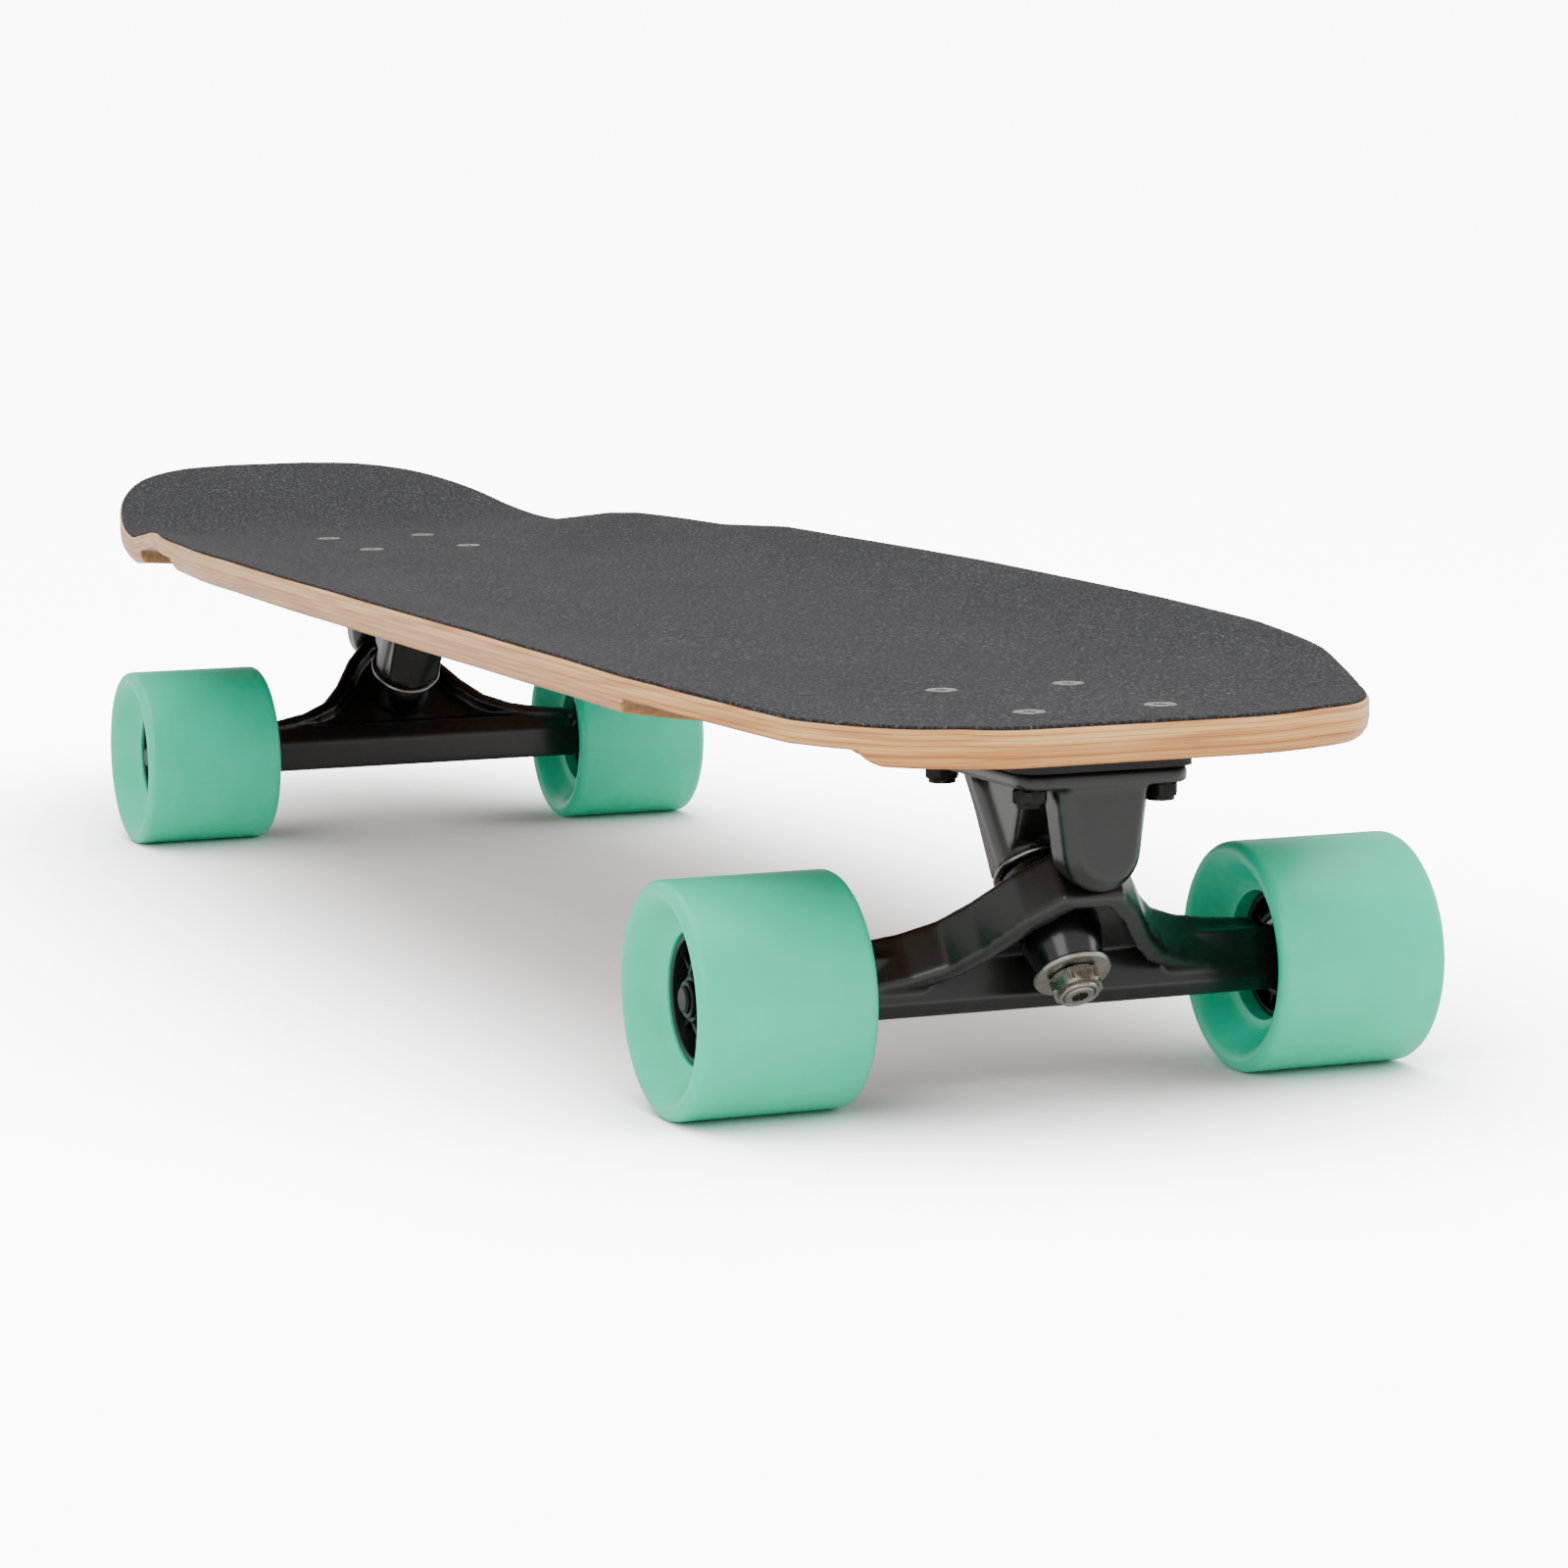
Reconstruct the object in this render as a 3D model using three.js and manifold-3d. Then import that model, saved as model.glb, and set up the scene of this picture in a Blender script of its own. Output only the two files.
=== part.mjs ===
// Skateboard with reverse-kingpin trucks, in millimetres.
// +X points to the nose, +Y to the side, +Z up. The origin is on the ground, under the middle of
// the board's length. Every piece is a closed solid in a mesh of its own.

import * as THREE from 'three';
import { mergeVertices } from 'three/addons/utils/BufferGeometryUtils.js';
import Module from 'manifold-3d';

const wasm = await Module();
wasm.setup();

// ---------------------------------------------------------------- driving dimensions

const FIT_GAP = 0.3; // clearance between neighbouring pieces
const SLIVER = 0.02; // corners closer than this are one corner after a cut

// Board layout, measured from the point midway between the two axles.
const AXLE_SPACING = 634.5;
const NOSE_REACH = 392;
const TAIL_REACH = 531;
const BOARD_SHIFT_X = (TAIL_REACH - NOSE_REACH) / 2;

// Deck: seven plies of maple, pressed with raised rails and a kicked tail.
const DECK_TOP_Z = 117;
const DECK_THICKNESS = 11;
const DECK_FLAT_HALF_WIDTH = 30;
const GRIP_THICKNESS = 0.8;
const GRIP_LIFT = 0.2;
const GRIP_INSET = 0.9;
const KICK_START_X = -392;
const KICK_RADIUS = 295;
const KICK_SLOPE = 0.2;
const DECK_STATIONS = 20;
const DECK_COLUMNS = 8;

// Half outline of the deck, from the nose corner to the tail: [x, half width].
const DECK_OUTLINE = [
  [392, 56], [387, 69], [376, 79], [358, 88], [320, 101], [285, 111], [235, 117.5],
  [150, 121.5], [50, 123.5], [-50, 124], [-145, 122], [-190, 121], [-240, 113.5],
  [-290, 109.5], [-345, 101], [-400, 95.5], [-450, 88], [-487, 77], [-512, 62],
  [-526, 42], [-531, 18],
];

// Height of the rail above the middle of the deck: [x, rise].
const RAIL_RISE = [
  [392, 1.5], [350, 1.5], [320, 4], [290, 6.5], [230, 9.3], [150, 10.6], [0, 11.6],
  [-190, 11.4], [-240, 9.3], [-320, 9.3], [-345, 7.8], [-400, 1.5], [-450, 0], [-531, 0],
];

// The deck's side profile, from the top: [depth below the top face, inset from the outline].
const DECK_SIDE_PROFILE = [[0, GRIP_INSET], [2, 0], [7.5, 0], [DECK_THICKNESS, 2.8]];

// Wheel wells, routed into the underside above each wheel.
const WELL_LENGTH = 108;
const WELL_OUTBOARD = 6.2; // the well's middle lies this far beyond the axle
const WELL_INNER_Y = 60;
const WELL_REMAINING = 6.6;
const WELL_CORNER = 20;

// Mounting hardware: four countersunk bolts a truck, on the long rectangular pattern.
const BOLT_SPACING_X = 63.5;
const BOLT_SPACING_Y = 41.28;
const BOLT_CENTRE_OUTBOARD = 10;
const BOLT_RADIUS = 2.4;
const BOLT_HEAD_RADIUS = 4.8;
const BOLT_HEAD_DEPTH = 2.6;
const BOLT_TIP_Z = 90.4;
const BOLT_HOLE_RADIUS = 2.8;
const LOCK_NUT_FLATS = 9.5;
const LOCK_NUT_HEIGHT = 5.6;
const HARDWARE_SEGMENTS = 8;
const NUT_BORE_GAP = 0.6;

// Wheels, bearings and axles.
const WHEEL_RADIUS = 35;
const WHEEL_WIDTH = 55;
const WHEEL_TRACK = 183;
const WHEEL_LIP = 3;
const CORE_RADIUS = 19.5;
const CORE_INNER_FACE = 13.5; // distances of the core's faces from the wheel's middle
const CORE_OUTER_FACE = 17.3;
const BEARING_RADIUS = 11;
const BEARING_BORE = 4.1;
const BEARING_WIDTH = 7;
const BEARING_SPACING = 10;
const AXLE_RADIUS = 3.9;
const AXLE_HALF_LENGTH = 112;
const AXLE_NUT_FLATS = 12.7;
const AXLE_NUT_HEIGHT = 6.6;

// Trucks. Heights here are above the axle, and x runs outboard from it.
const STEER_TILT = THREE.MathUtils.degToRad(40);
const HANGER_HALF_WIDTH = 77.5;
const RISER_THICKNESS = 4.4;
const PLATE_THICKNESS = 4.8;
const PLATE_INBOARD = -44;
const PLATE_OUTBOARD = 52.5;
const PLATE_HALF_WIDTH = 27;
const PLATE_CORNER = 8;

// Along the kingpin: u runs up the steering axis and h up the kingpin, both from the axle.
const RING_U = 21.9;
const RING_H = 4;
const WEB_HALF_THICKNESS = 2.5;
const BUSHING_HEIGHT = 13.9;
const BOARD_BUSHING_RADIUS = 12.7;
const ROAD_BUSHING_WIDE_RADIUS = 12.3;
const ROAD_BUSHING_NARROW_RADIUS = 9.8;
const BUSHING_BORE_RADIUS = 5.1;
const BOARD_WASHER_RADIUS = 14.4;
const ROAD_WASHER_RADIUS = 11.9;
const WASHER_THICKNESS = 1.6;
const KINGPIN_RADIUS = 4.7;
const KINGPIN_NUT_FLATS = 14.3;
const KINGPIN_NUT_HEIGHT = 6.6;
const RING_HOLE_RADIUS = 6.6;
const PIVOT_U = 58;
const PIVOT_NOSE_RADIUS = 5;
const PIVOT_CUP_RADIUS = 7.4;
const PIVOT_PLAY = 0.5;
const PIVOT_CUP_BOTTOM = -5.8;

// Upper edge of the hanger's arms, in the plane across the kingpin: [half width, u].
const ARM_OUTLINE = [
  [74, 5], [56, 7.5], [45, 10.5], [35, 16], [27.5, 25], [18.5, 40], [9.4, 50.5],
];
const ARM_TOP_H = 11.5;
const ARM_LIP_H = -6.5;
const ARM_LIP_THICKNESS = 4.4;
const ARM_EASING = 1.5;

// ---------------------------------------------------------------- materials

function finish(color, roughness, metalness) {
  return new THREE.MeshStandardMaterial({ color, roughness, metalness });
}

const MAPLE = [0xdcb489, 0.55, 0];
const GRIP = [0x55575a, 0.95, 0];
const BLACK_CAST = [0x1b1a19, 0.38, 0.4];
const BLACK_RUBBER = [0x141414, 0.6, 0];
const BLACK_URETHANE = [0x0c0c0d, 0.25, 0];
const MINT_URETHANE = [0x7fd3b9, 0.35, 0];
const BLACK_NYLON = [0x111112, 0.3, 0];
const ZINC = [0x9a9690, 0.3, 1];
const BLACK_ZINC = [0x24221f, 0.35, 0.8];
const STEEL = [0xb9b8b4, 0.25, 1];

// ---------------------------------------------------------------- solids

function toSolid(geometry) {
  const bare = geometry.clone();
  bare.deleteAttribute('normal');
  bare.deleteAttribute('uv');
  const merged = mergeVertices(bare, 1e-4);
  return new wasm.Manifold(new wasm.Mesh({
    numProp: 3,
    vertProperties: new Float32Array(merged.attributes.position.array),
    triVerts: new Uint32Array(merged.index.array),
  }));
}

function toGeometry(solid) {
  const cut = solid.getMesh();
  const raw = new THREE.BufferGeometry();
  raw.setAttribute('position', new THREE.BufferAttribute(cut.vertProperties, 3));
  raw.setIndex(new THREE.BufferAttribute(cut.triVerts, 1));
  const geometry = mergeVertices(raw, SLIVER);
  const kept = [];
  for (let i = 0; i < geometry.index.count; i += 3) {
    const [a, b, c] = geometry.index.array.slice(i, i + 3);
    if (a !== b && b !== c && c !== a) {
      kept.push(a, b, c);
    }
  }
  geometry.setIndex(kept);
  geometry.computeVertexNormals();
  return geometry;
}

function cutAway(geometry, ...cutters) {
  let solid = toSolid(geometry);
  for (const cutter of cutters) {
    solid = solid.subtract(toSolid(cutter));
  }
  return toGeometry(solid);
}

function joinUp(geometry, ...others) {
  let solid = toSolid(geometry);
  for (const other of others) {
    solid = solid.add(toSolid(other));
  }
  return toGeometry(solid);
}

// A turned piece about Z from a closed profile of [radius, z] points.
function turned(profile, segments = 12) {
  const points = profile.map(([radius, z]) => new THREE.Vector2(radius, z));
  return new THREE.LatheGeometry(points, segments).rotateX(Math.PI / 2);
}

// A turned ring about Z. The profile runs round the section and closes on itself.
function turnedRing(profile, segments = 12) {
  return turned([...profile, profile[0]], segments);
}

function rod(radius, bottom, top, segments = 12) {
  return turned([[0, bottom], [radius, bottom], [radius, top], [0, top]], segments);
}

function tube(inner, outer, bottom, top, segments = 12) {
  return turnedRing([[inner, bottom], [outer, bottom], [outer, top], [inner, top]], segments);
}

function hexagon(acrossFlats, bottom, top) {
  const prism = new THREE.CylinderGeometry(
    acrossFlats / Math.sqrt(3), acrossFlats / Math.sqrt(3), top - bottom, 6,
  );
  return prism.rotateY(Math.PI / 6).rotateX(Math.PI / 2).translate(0, 0, (top + bottom) / 2);
}

// A rounded rectangle in XY, extruded from bottom to top.
function plate(x0, x1, halfWidth, corner, bottom, top, bevel = 0) {
  const shape = new THREE.Shape();
  shape.moveTo(x0 + corner, -halfWidth);
  shape.lineTo(x1 - corner, -halfWidth);
  shape.absarc(x1 - corner, -halfWidth + corner, corner, -Math.PI / 2, 0);
  shape.absarc(x1 - corner, halfWidth - corner, corner, 0, Math.PI / 2);
  shape.absarc(x0 + corner, halfWidth - corner, corner, Math.PI / 2, Math.PI);
  shape.absarc(x0 + corner, -halfWidth + corner, corner, Math.PI, 1.5 * Math.PI);
  const geometry = new THREE.ExtrudeGeometry(shape, {
    depth: top - bottom - 2 * bevel,
    bevelEnabled: bevel > 0,
    bevelThickness: bevel,
    bevelSize: bevel,
    bevelOffset: -bevel,
    bevelSegments: 1,
    curveSegments: 3,
  });
  return geometry.translate(0, 0, bottom + bevel);
}

// ---------------------------------------------------------------- deck and grip tape

const outlineCurve = new THREE.CatmullRomCurve3(
  DECK_OUTLINE.map(([x, width]) => new THREE.Vector3(x, width, 0)), false, 'centripetal',
);
const riseCurve = RAIL_RISE.map(([x, rise]) => new THREE.Vector2(x, rise));

// Rise of the rail at x, eased between the listed stations.
function railRise(x) {
  const next = riseCurve.findIndex((point) => point.x <= x);
  if (next <= 0) {
    return riseCurve[next === 0 ? 0 : riseCurve.length - 1].y;
  }
  const before = riseCurve[next - 1];
  const after = riseCurve[next];
  return THREE.MathUtils.mapLinear(x, before.x, after.x, before.y, after.y);
}

// Height of the deck's middle line above its flat stretch: an arc that runs out into a straight ramp.
function kickRise(x) {
  const run = Math.max(0, KICK_START_X - x);
  const arcRun = KICK_RADIUS * KICK_SLOPE;
  if (run < arcRun) {
    return run ** 2 / (2 * KICK_RADIUS);
  }
  return arcRun ** 2 / (2 * KICK_RADIUS) + KICK_SLOPE * (run - arcRun);
}

function deckTopAt(x, y, halfWidth) {
  const reach = (Math.abs(y) - DECK_FLAT_HALF_WIDTH) / Math.max(1, halfWidth - DECK_FLAT_HALF_WIDTH);
  return DECK_TOP_Z + kickRise(x) + railRise(x) * Math.max(0, reach) ** 2;
}

function halfWidthAt(x) {
  let low = 0;
  let high = 1;
  for (let step = 0; step < 30; step += 1) {
    const middle = (low + high) / 2;
    if (outlineCurve.getPoint(middle).x > x) {
      low = middle;
    } else {
      high = middle;
    }
  }
  return outlineCurve.getPoint(low).y;
}

// Spreads the columns so that the inner two bound the flat strip and the rest share the rail.
function acrossDeck(across, halfWidth) {
  const flat = Math.min(DECK_FLAT_HALF_WIDTH, 0.4 * halfWidth);
  const share = 2 / DECK_COLUMNS;
  const reach = Math.abs(across);
  if (reach <= share) {
    return across * flat / share;
  }
  return Math.sign(across) * THREE.MathUtils.mapLinear(reach, share, 1, flat, halfWidth);
}

// Splits each underside quad along the same diagonal as the quad above it, so stacked sheets nest.
function matchDiagonals(sheet) {
  const underside = sheet.groups[5];
  const index = sheet.index.array;
  for (let i = underside.start; i < underside.start + underside.count; i += 6) {
    const [a, b, d, , c] = index.slice(i, i + 6);
    index.set([a, b, c, a, c, d], i);
  }
}

// A pressed sheet that follows the deck. The side profile lists [depth, inset] from the top face.
function pressedSheet(topLift, sideProfile) {
  const layers = sideProfile.length - 1;
  const sheet = new THREE.BoxGeometry(2, 2, 2, DECK_STATIONS, DECK_COLUMNS, layers);
  const position = sheet.attributes.position;
  for (let i = 0; i < position.count; i += 1) {
    const along = position.getX(i);
    const across = position.getY(i);
    const layer = Math.round(layers * (1 - position.getZ(i)) / 2);
    const [depth, inset] = sideProfile[layer];
    const station = outlineCurve.getPoint((1 - along) / 2);
    const endInset = Math.abs(along) > 0.999 ? inset * Math.sign(along) : 0;
    const x = station.x - endInset;
    const y = acrossDeck(across, station.y - inset);
    position.setXYZ(i, x, y, deckTopAt(station.x, y, station.y) + topLift - depth);
  }
  matchDiagonals(sheet);
  return sheet;
}

// A rounded pocket with sloping walls, opening downwards and out through the deck's side.
function wheelWell(axleX, side) {
  const middleX = axleX + Math.sign(axleX) * WELL_OUTBOARD;
  const edgeY = halfWidthAt(axleX);
  const innerCeiling = deckTopAt(axleX, WELL_INNER_Y, edgeY) - WELL_REMAINING;
  const outerCeiling = deckTopAt(axleX, edgeY, edgeY) - WELL_REMAINING;
  const tilt = Math.atan2(outerCeiling - innerCeiling, edgeY - WELL_INNER_Y);
  const slope = 4;
  const pocket = new THREE.Shape();
  const half = WELL_LENGTH / 2 - slope;
  pocket.moveTo(-half, 80);
  pocket.lineTo(-half, WELL_CORNER);
  pocket.absarc(-half + WELL_CORNER, WELL_CORNER, WELL_CORNER, Math.PI, 1.5 * Math.PI);
  pocket.absarc(half - WELL_CORNER, WELL_CORNER, WELL_CORNER, 1.5 * Math.PI, 2 * Math.PI);
  pocket.lineTo(half, 80);
  const cutter = new THREE.ExtrudeGeometry(pocket, {
    depth: 20,
    bevelEnabled: true,
    bevelThickness: slope,
    bevelSize: slope,
    bevelSegments: 1,
    curveSegments: 4,
  });
  cutter.translate(0, slope, -20 - slope);
  cutter.rotateX(tilt);
  if (side < 0) {
    cutter.rotateZ(Math.PI);
  }
  return cutter.translate(middleX, side * WELL_INNER_Y, innerCeiling);
}

function boltPlaces() {
  const places = [];
  for (const end of [1, -1]) {
    for (const out of [1, -1]) {
      for (const side of [1, -1]) {
        const x = end * (AXLE_SPACING / 2 + BOLT_CENTRE_OUTBOARD + out * BOLT_SPACING_X / 2);
        places.push({ end, out, side, x, y: side * BOLT_SPACING_Y / 2 });
      }
    }
  }
  return places;
}

function boltHole(bottom, top, radius) {
  return rod(radius, bottom, top, HARDWARE_SEGMENTS);
}

function buildDeck() {
  const cutters = [];
  for (const axleX of [AXLE_SPACING / 2, -AXLE_SPACING / 2]) {
    cutters.push(wheelWell(axleX, 1), wheelWell(axleX, -1));
  }
  for (const { x, y } of boltPlaces()) {
    const countersink = turned([
      [0, -DECK_THICKNESS - 1], [BOLT_HOLE_RADIUS, -DECK_THICKNESS - 1],
      [BOLT_HOLE_RADIUS, -BOLT_HEAD_DEPTH], [BOLT_HEAD_RADIUS + FIT_GAP, 0],
      [BOLT_HEAD_RADIUS + FIT_GAP, 2], [0, 2],
    ], HARDWARE_SEGMENTS);
    cutters.push(countersink.translate(x, y, DECK_TOP_Z));
  }
  return cutAway(pressedSheet(0, DECK_SIDE_PROFILE), ...cutters);
}

function buildGrip() {
  const lift = GRIP_LIFT + GRIP_THICKNESS;
  const sheet = pressedSheet(lift, [[0, GRIP_INSET], [GRIP_THICKNESS, GRIP_INSET]]);
  const holes = boltPlaces().map(({ x, y }) => (
    boltHole(DECK_TOP_Z - 2, DECK_TOP_Z + 3, BOLT_HEAD_RADIUS + FIT_GAP).translate(x, y, 0)
  ));
  return cutAway(sheet, ...holes);
}

// A countersunk bolt, from the grip's face down to its tip.
function buildMountBolt() {
  const top = DECK_TOP_Z + GRIP_LIFT + GRIP_THICKNESS;
  return turned([
    [0, BOLT_TIP_Z], [BOLT_RADIUS, BOLT_TIP_Z], [BOLT_RADIUS, top - BOLT_HEAD_DEPTH - 0.8],
    [BOLT_HEAD_RADIUS, top - 0.8], [BOLT_HEAD_RADIUS, top], [0, top],
  ], HARDWARE_SEGMENTS);
}

// A hexagonal lock nut, hanging under z = 0.
function lockNut(flats, height, bore) {
  return cutAway(hexagon(flats, -height, 0), rod(bore, -height - 1, 1, HARDWARE_SEGMENTS));
}

// ---------------------------------------------------------------- wheels

// The tyre: a dished urethane ring moulded round the core.
function buildTyre() {
  const half = WHEEL_WIDTH / 2;
  const bore = CORE_RADIUS + FIT_GAP;
  const side = [
    [bore, 17.6], [22.6, 19.2], [30, half - 1],
    [WHEEL_RADIUS - WHEEL_LIP, half], [WHEEL_RADIUS, half - WHEEL_LIP],
  ];
  const mirrored = side.map(([radius, z]) => [radius, -z]);
  return turnedRing([...mirrored, ...side.reverse()], 20);
}

// The core: a hub with a bearing seat at each side and a ledge between the bearings.
function buildCore() {
  const seatRadius = BEARING_RADIUS + FIT_GAP;
  const ledge = BEARING_SPACING / 2 - FIT_GAP;
  return turnedRing([
    [seatRadius, -CORE_INNER_FACE], [CORE_RADIUS, -CORE_INNER_FACE], [CORE_RADIUS, CORE_OUTER_FACE],
    [seatRadius, CORE_OUTER_FACE], [seatRadius, ledge], [6, ledge], [6, -ledge], [seatRadius, -ledge],
  ], 20);
}

function buildBearing() {
  return tube(BEARING_BORE, BEARING_RADIUS, -BEARING_WIDTH / 2, BEARING_WIDTH / 2, 12);
}

function buildAxle() {
  return turned([
    [0, -AXLE_HALF_LENGTH], [AXLE_RADIUS, -AXLE_HALF_LENGTH],
    [AXLE_RADIUS, AXLE_HALF_LENGTH], [0, AXLE_HALF_LENGTH],
  ]);
}

// ---------------------------------------------------------------- truck pieces

const RISER_TOP = DECK_TOP_Z - DECK_THICKNESS - FIT_GAP - WHEEL_RADIUS;
const RISER_BOTTOM = RISER_TOP - RISER_THICKNESS;
const PLATE_TOP = RISER_BOTTOM - FIT_GAP;
const PLATE_BOTTOM = PLATE_TOP - PLATE_THICKNESS;

const ROAD_FACE = RING_H - WEB_HALF_THICKNESS - FIT_GAP;
const BOARD_FACE = RING_H + WEB_HALF_THICKNESS + FIT_GAP;
const BOARD_WASHER_H = BOARD_FACE + BUSHING_HEIGHT + FIT_GAP;
const BOSS_H = BOARD_WASHER_H + WASHER_THICKNESS + FIT_GAP;
const ROAD_WASHER_H = ROAD_FACE - BUSHING_HEIGHT - FIT_GAP;
const KINGPIN_NUT_H = ROAD_WASHER_H - WASHER_THICKNESS - FIT_GAP;

// Turns a geometry drawn along the kingpin (x up the steering axis, z up the kingpin) into place.
function alongKingpin(geometry, u = RING_U, h = 0) {
  return geometry.translate(u, 0, h).rotateY(-STEER_TILT);
}

// Turns a geometry drawn about Z so that it lies about the steering axis, its +Z up the axis.
function alongSteering(geometry, u) {
  return alongKingpin(geometry.rotateY(Math.PI / 2), u, RING_H);
}

function boltHolesInPlate(bottom, top) {
  const holes = [];
  for (const out of [1, -1]) {
    for (const side of [1, -1]) {
      const hole = boltHole(bottom - 1, top + 1, BOLT_HOLE_RADIUS);
      holes.push(hole.translate(
        BOLT_CENTRE_OUTBOARD + out * BOLT_SPACING_X / 2, side * BOLT_SPACING_Y / 2, 0,
      ));
    }
  }
  return holes;
}

function buildRiser() {
  const pad = plate(PLATE_INBOARD - 1, PLATE_OUTBOARD + 1, PLATE_HALF_WIDTH + 1, PLATE_CORNER,
    RISER_BOTTOM, RISER_TOP);
  return cutAway(pad, ...boltHolesInPlate(RISER_BOTTOM, RISER_TOP));
}

// The pivot housing hangs from the plate's outboard end as a rounded lump with flanks that narrow.
function pivotHousing() {
  const shape = new THREE.Shape();
  const centreZ = 42.5;
  const radius = 8.8;
  shape.moveTo(-12, PLATE_BOTTOM + 3);
  shape.lineTo(-radius, centreZ);
  shape.absarc(0, centreZ, radius, Math.PI, 2 * Math.PI);
  shape.lineTo(12, PLATE_BOTTOM + 3);
  const lump = new THREE.ExtrudeGeometry(shape, {
    depth: 9,
    bevelEnabled: true,
    bevelThickness: 5,
    bevelSize: 3.4,
    bevelSegments: 1,
    curveSegments: 7,
  });
  const roof = new THREE.BoxGeometry(200, 200, 40).translate(0, 0, PLATE_TOP - 1 + 20);
  const mouth = new THREE.BoxGeometry(200, 200, 200).translate(PIVOT_U + PIVOT_CUP_BOTTOM - 100, 0, 0);
  lump.rotateX(Math.PI / 2).rotateZ(Math.PI / 2).translate(37.5, 0, 0);
  return cutAway(lump, roof, alongKingpin(mouth, 0));
}

// The kingpin housing: a boss along the kingpin with a wedge that spreads up to the plate.
function kingpinHousing() {
  const boss = alongKingpin(rod(13, BOSS_H, BOSS_H + 50, 18));
  const wedge = new THREE.Shape();
  wedge.moveTo(-34, PLATE_BOTTOM + 2);
  wedge.lineTo(-22, 48);
  wedge.lineTo(-8.5, 27);
  wedge.lineTo(9, 41);
  wedge.lineTo(17, PLATE_BOTTOM + 2);
  const body = new THREE.ExtrudeGeometry(wedge, {
    depth: 15,
    bevelEnabled: true,
    bevelThickness: 3.5,
    bevelSize: 1,
    bevelSegments: 1,
  });
  body.translate(0, 0, -7.5).rotateX(Math.PI / 2);
  const below = new THREE.BoxGeometry(80, 80, 40).translate(0, 0, -20);
  const roof = new THREE.BoxGeometry(200, 200, 60).translate(0, 0, PLATE_TOP - 1 + 30);
  return cutAway(joinUp(boss, body), roof, alongKingpin(below, RING_U, BOSS_H));
}

function buildBaseplate() {
  const slab = plate(PLATE_INBOARD, PLATE_OUTBOARD, PLATE_HALF_WIDTH, PLATE_CORNER,
    PLATE_BOTTOM, PLATE_TOP, 0.8);
  const joined = joinUp(slab, kingpinHousing(), pivotHousing());
  const kingpinHole = alongKingpin(rod(KINGPIN_RADIUS + FIT_GAP, 0, 90));
  const headSeat = alongKingpin(rod(8, kingpinHeadH() - FIT_GAP, kingpinHeadH() + 20));
  const socket = alongSteering(rod(PIVOT_CUP_RADIUS + FIT_GAP, -12, 4.6), PIVOT_U);
  return cutAway(joined, kingpinHole, headSeat, socket, ...boltHolesInPlate(PLATE_BOTTOM, PLATE_TOP));
}

// Where the kingpin's head sits, just under the plate's top face.
function kingpinHeadH() {
  const drop = 8;
  return (PLATE_TOP - drop - RING_U * Math.sin(STEER_TILT)) / Math.cos(STEER_TILT);
}

function buildKingpin() {
  const head = kingpinHeadH();
  const tip = KINGPIN_NUT_H - KINGPIN_NUT_HEIGHT - 0.6;
  const pin = turned([
    [0, tip], [KINGPIN_RADIUS - 0.7, tip], [KINGPIN_RADIUS, tip + 0.7], [KINGPIN_RADIUS, head],
    [7, head], [7, head + 3.4], [0, head + 3.4],
  ]);
  return alongKingpin(cutAway(pin, hexagon(4.8, tip - 1, tip + 4)));
}

function buildBoardBushing() {
  return alongKingpin(tube(BUSHING_BORE_RADIUS, BOARD_BUSHING_RADIUS, BOARD_FACE,
    BOARD_FACE + BUSHING_HEIGHT));
}

function buildRoadBushing() {
  return alongKingpin(turnedRing([
    [BUSHING_BORE_RADIUS, ROAD_FACE - BUSHING_HEIGHT],
    [ROAD_BUSHING_NARROW_RADIUS, ROAD_FACE - BUSHING_HEIGHT],
    [ROAD_BUSHING_WIDE_RADIUS, ROAD_FACE - 3], [ROAD_BUSHING_WIDE_RADIUS, ROAD_FACE],
    [BUSHING_BORE_RADIUS, ROAD_FACE],
  ]));
}

function buildBoardWasher() {
  return alongKingpin(tube(BUSHING_BORE_RADIUS, BOARD_WASHER_RADIUS, BOARD_WASHER_H,
    BOARD_WASHER_H + WASHER_THICKNESS));
}

function buildRoadWasher() {
  return alongKingpin(tube(BUSHING_BORE_RADIUS, ROAD_WASHER_RADIUS,
    ROAD_WASHER_H - WASHER_THICKNESS, ROAD_WASHER_H));
}

function buildKingpinNut() {
  const nut = lockNut(KINGPIN_NUT_FLATS, KINGPIN_NUT_HEIGHT, KINGPIN_RADIUS + NUT_BORE_GAP);
  return alongKingpin(nut, RING_U, KINGPIN_NUT_H);
}

function buildPivotCup() {
  const inner = PIVOT_NOSE_RADIUS + PIVOT_PLAY;
  return alongSteering(turned([
    [inner, PIVOT_CUP_BOTTOM], [PIVOT_CUP_RADIUS, PIVOT_CUP_BOTTOM], [PIVOT_CUP_RADIUS, 4.2],
    [0, 4.2], [0, 2.6], [3, 2.2], [inner, 0.4], [inner, PIVOT_CUP_BOTTOM],
  ]), PIVOT_U);
}

// The arms' outline in the plane across the kingpin, drawn in from the edge by a margin.
function armShape(margin) {
  const right = ARM_OUTLINE.map(([halfWidth, u]) => new THREE.Vector2(u - margin, halfWidth - margin));
  const kept = right.filter((point) => point.y > 1.5 && point.x > -4);
  const shape = new THREE.Shape();
  shape.moveTo(-4, kept[0].y);
  kept.forEach((point) => shape.lineTo(point.x, point.y));
  kept.reverse().forEach((point) => shape.lineTo(point.x, -point.y));
  shape.lineTo(-4, -kept[kept.length - 1].y);
  return shape;
}

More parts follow.
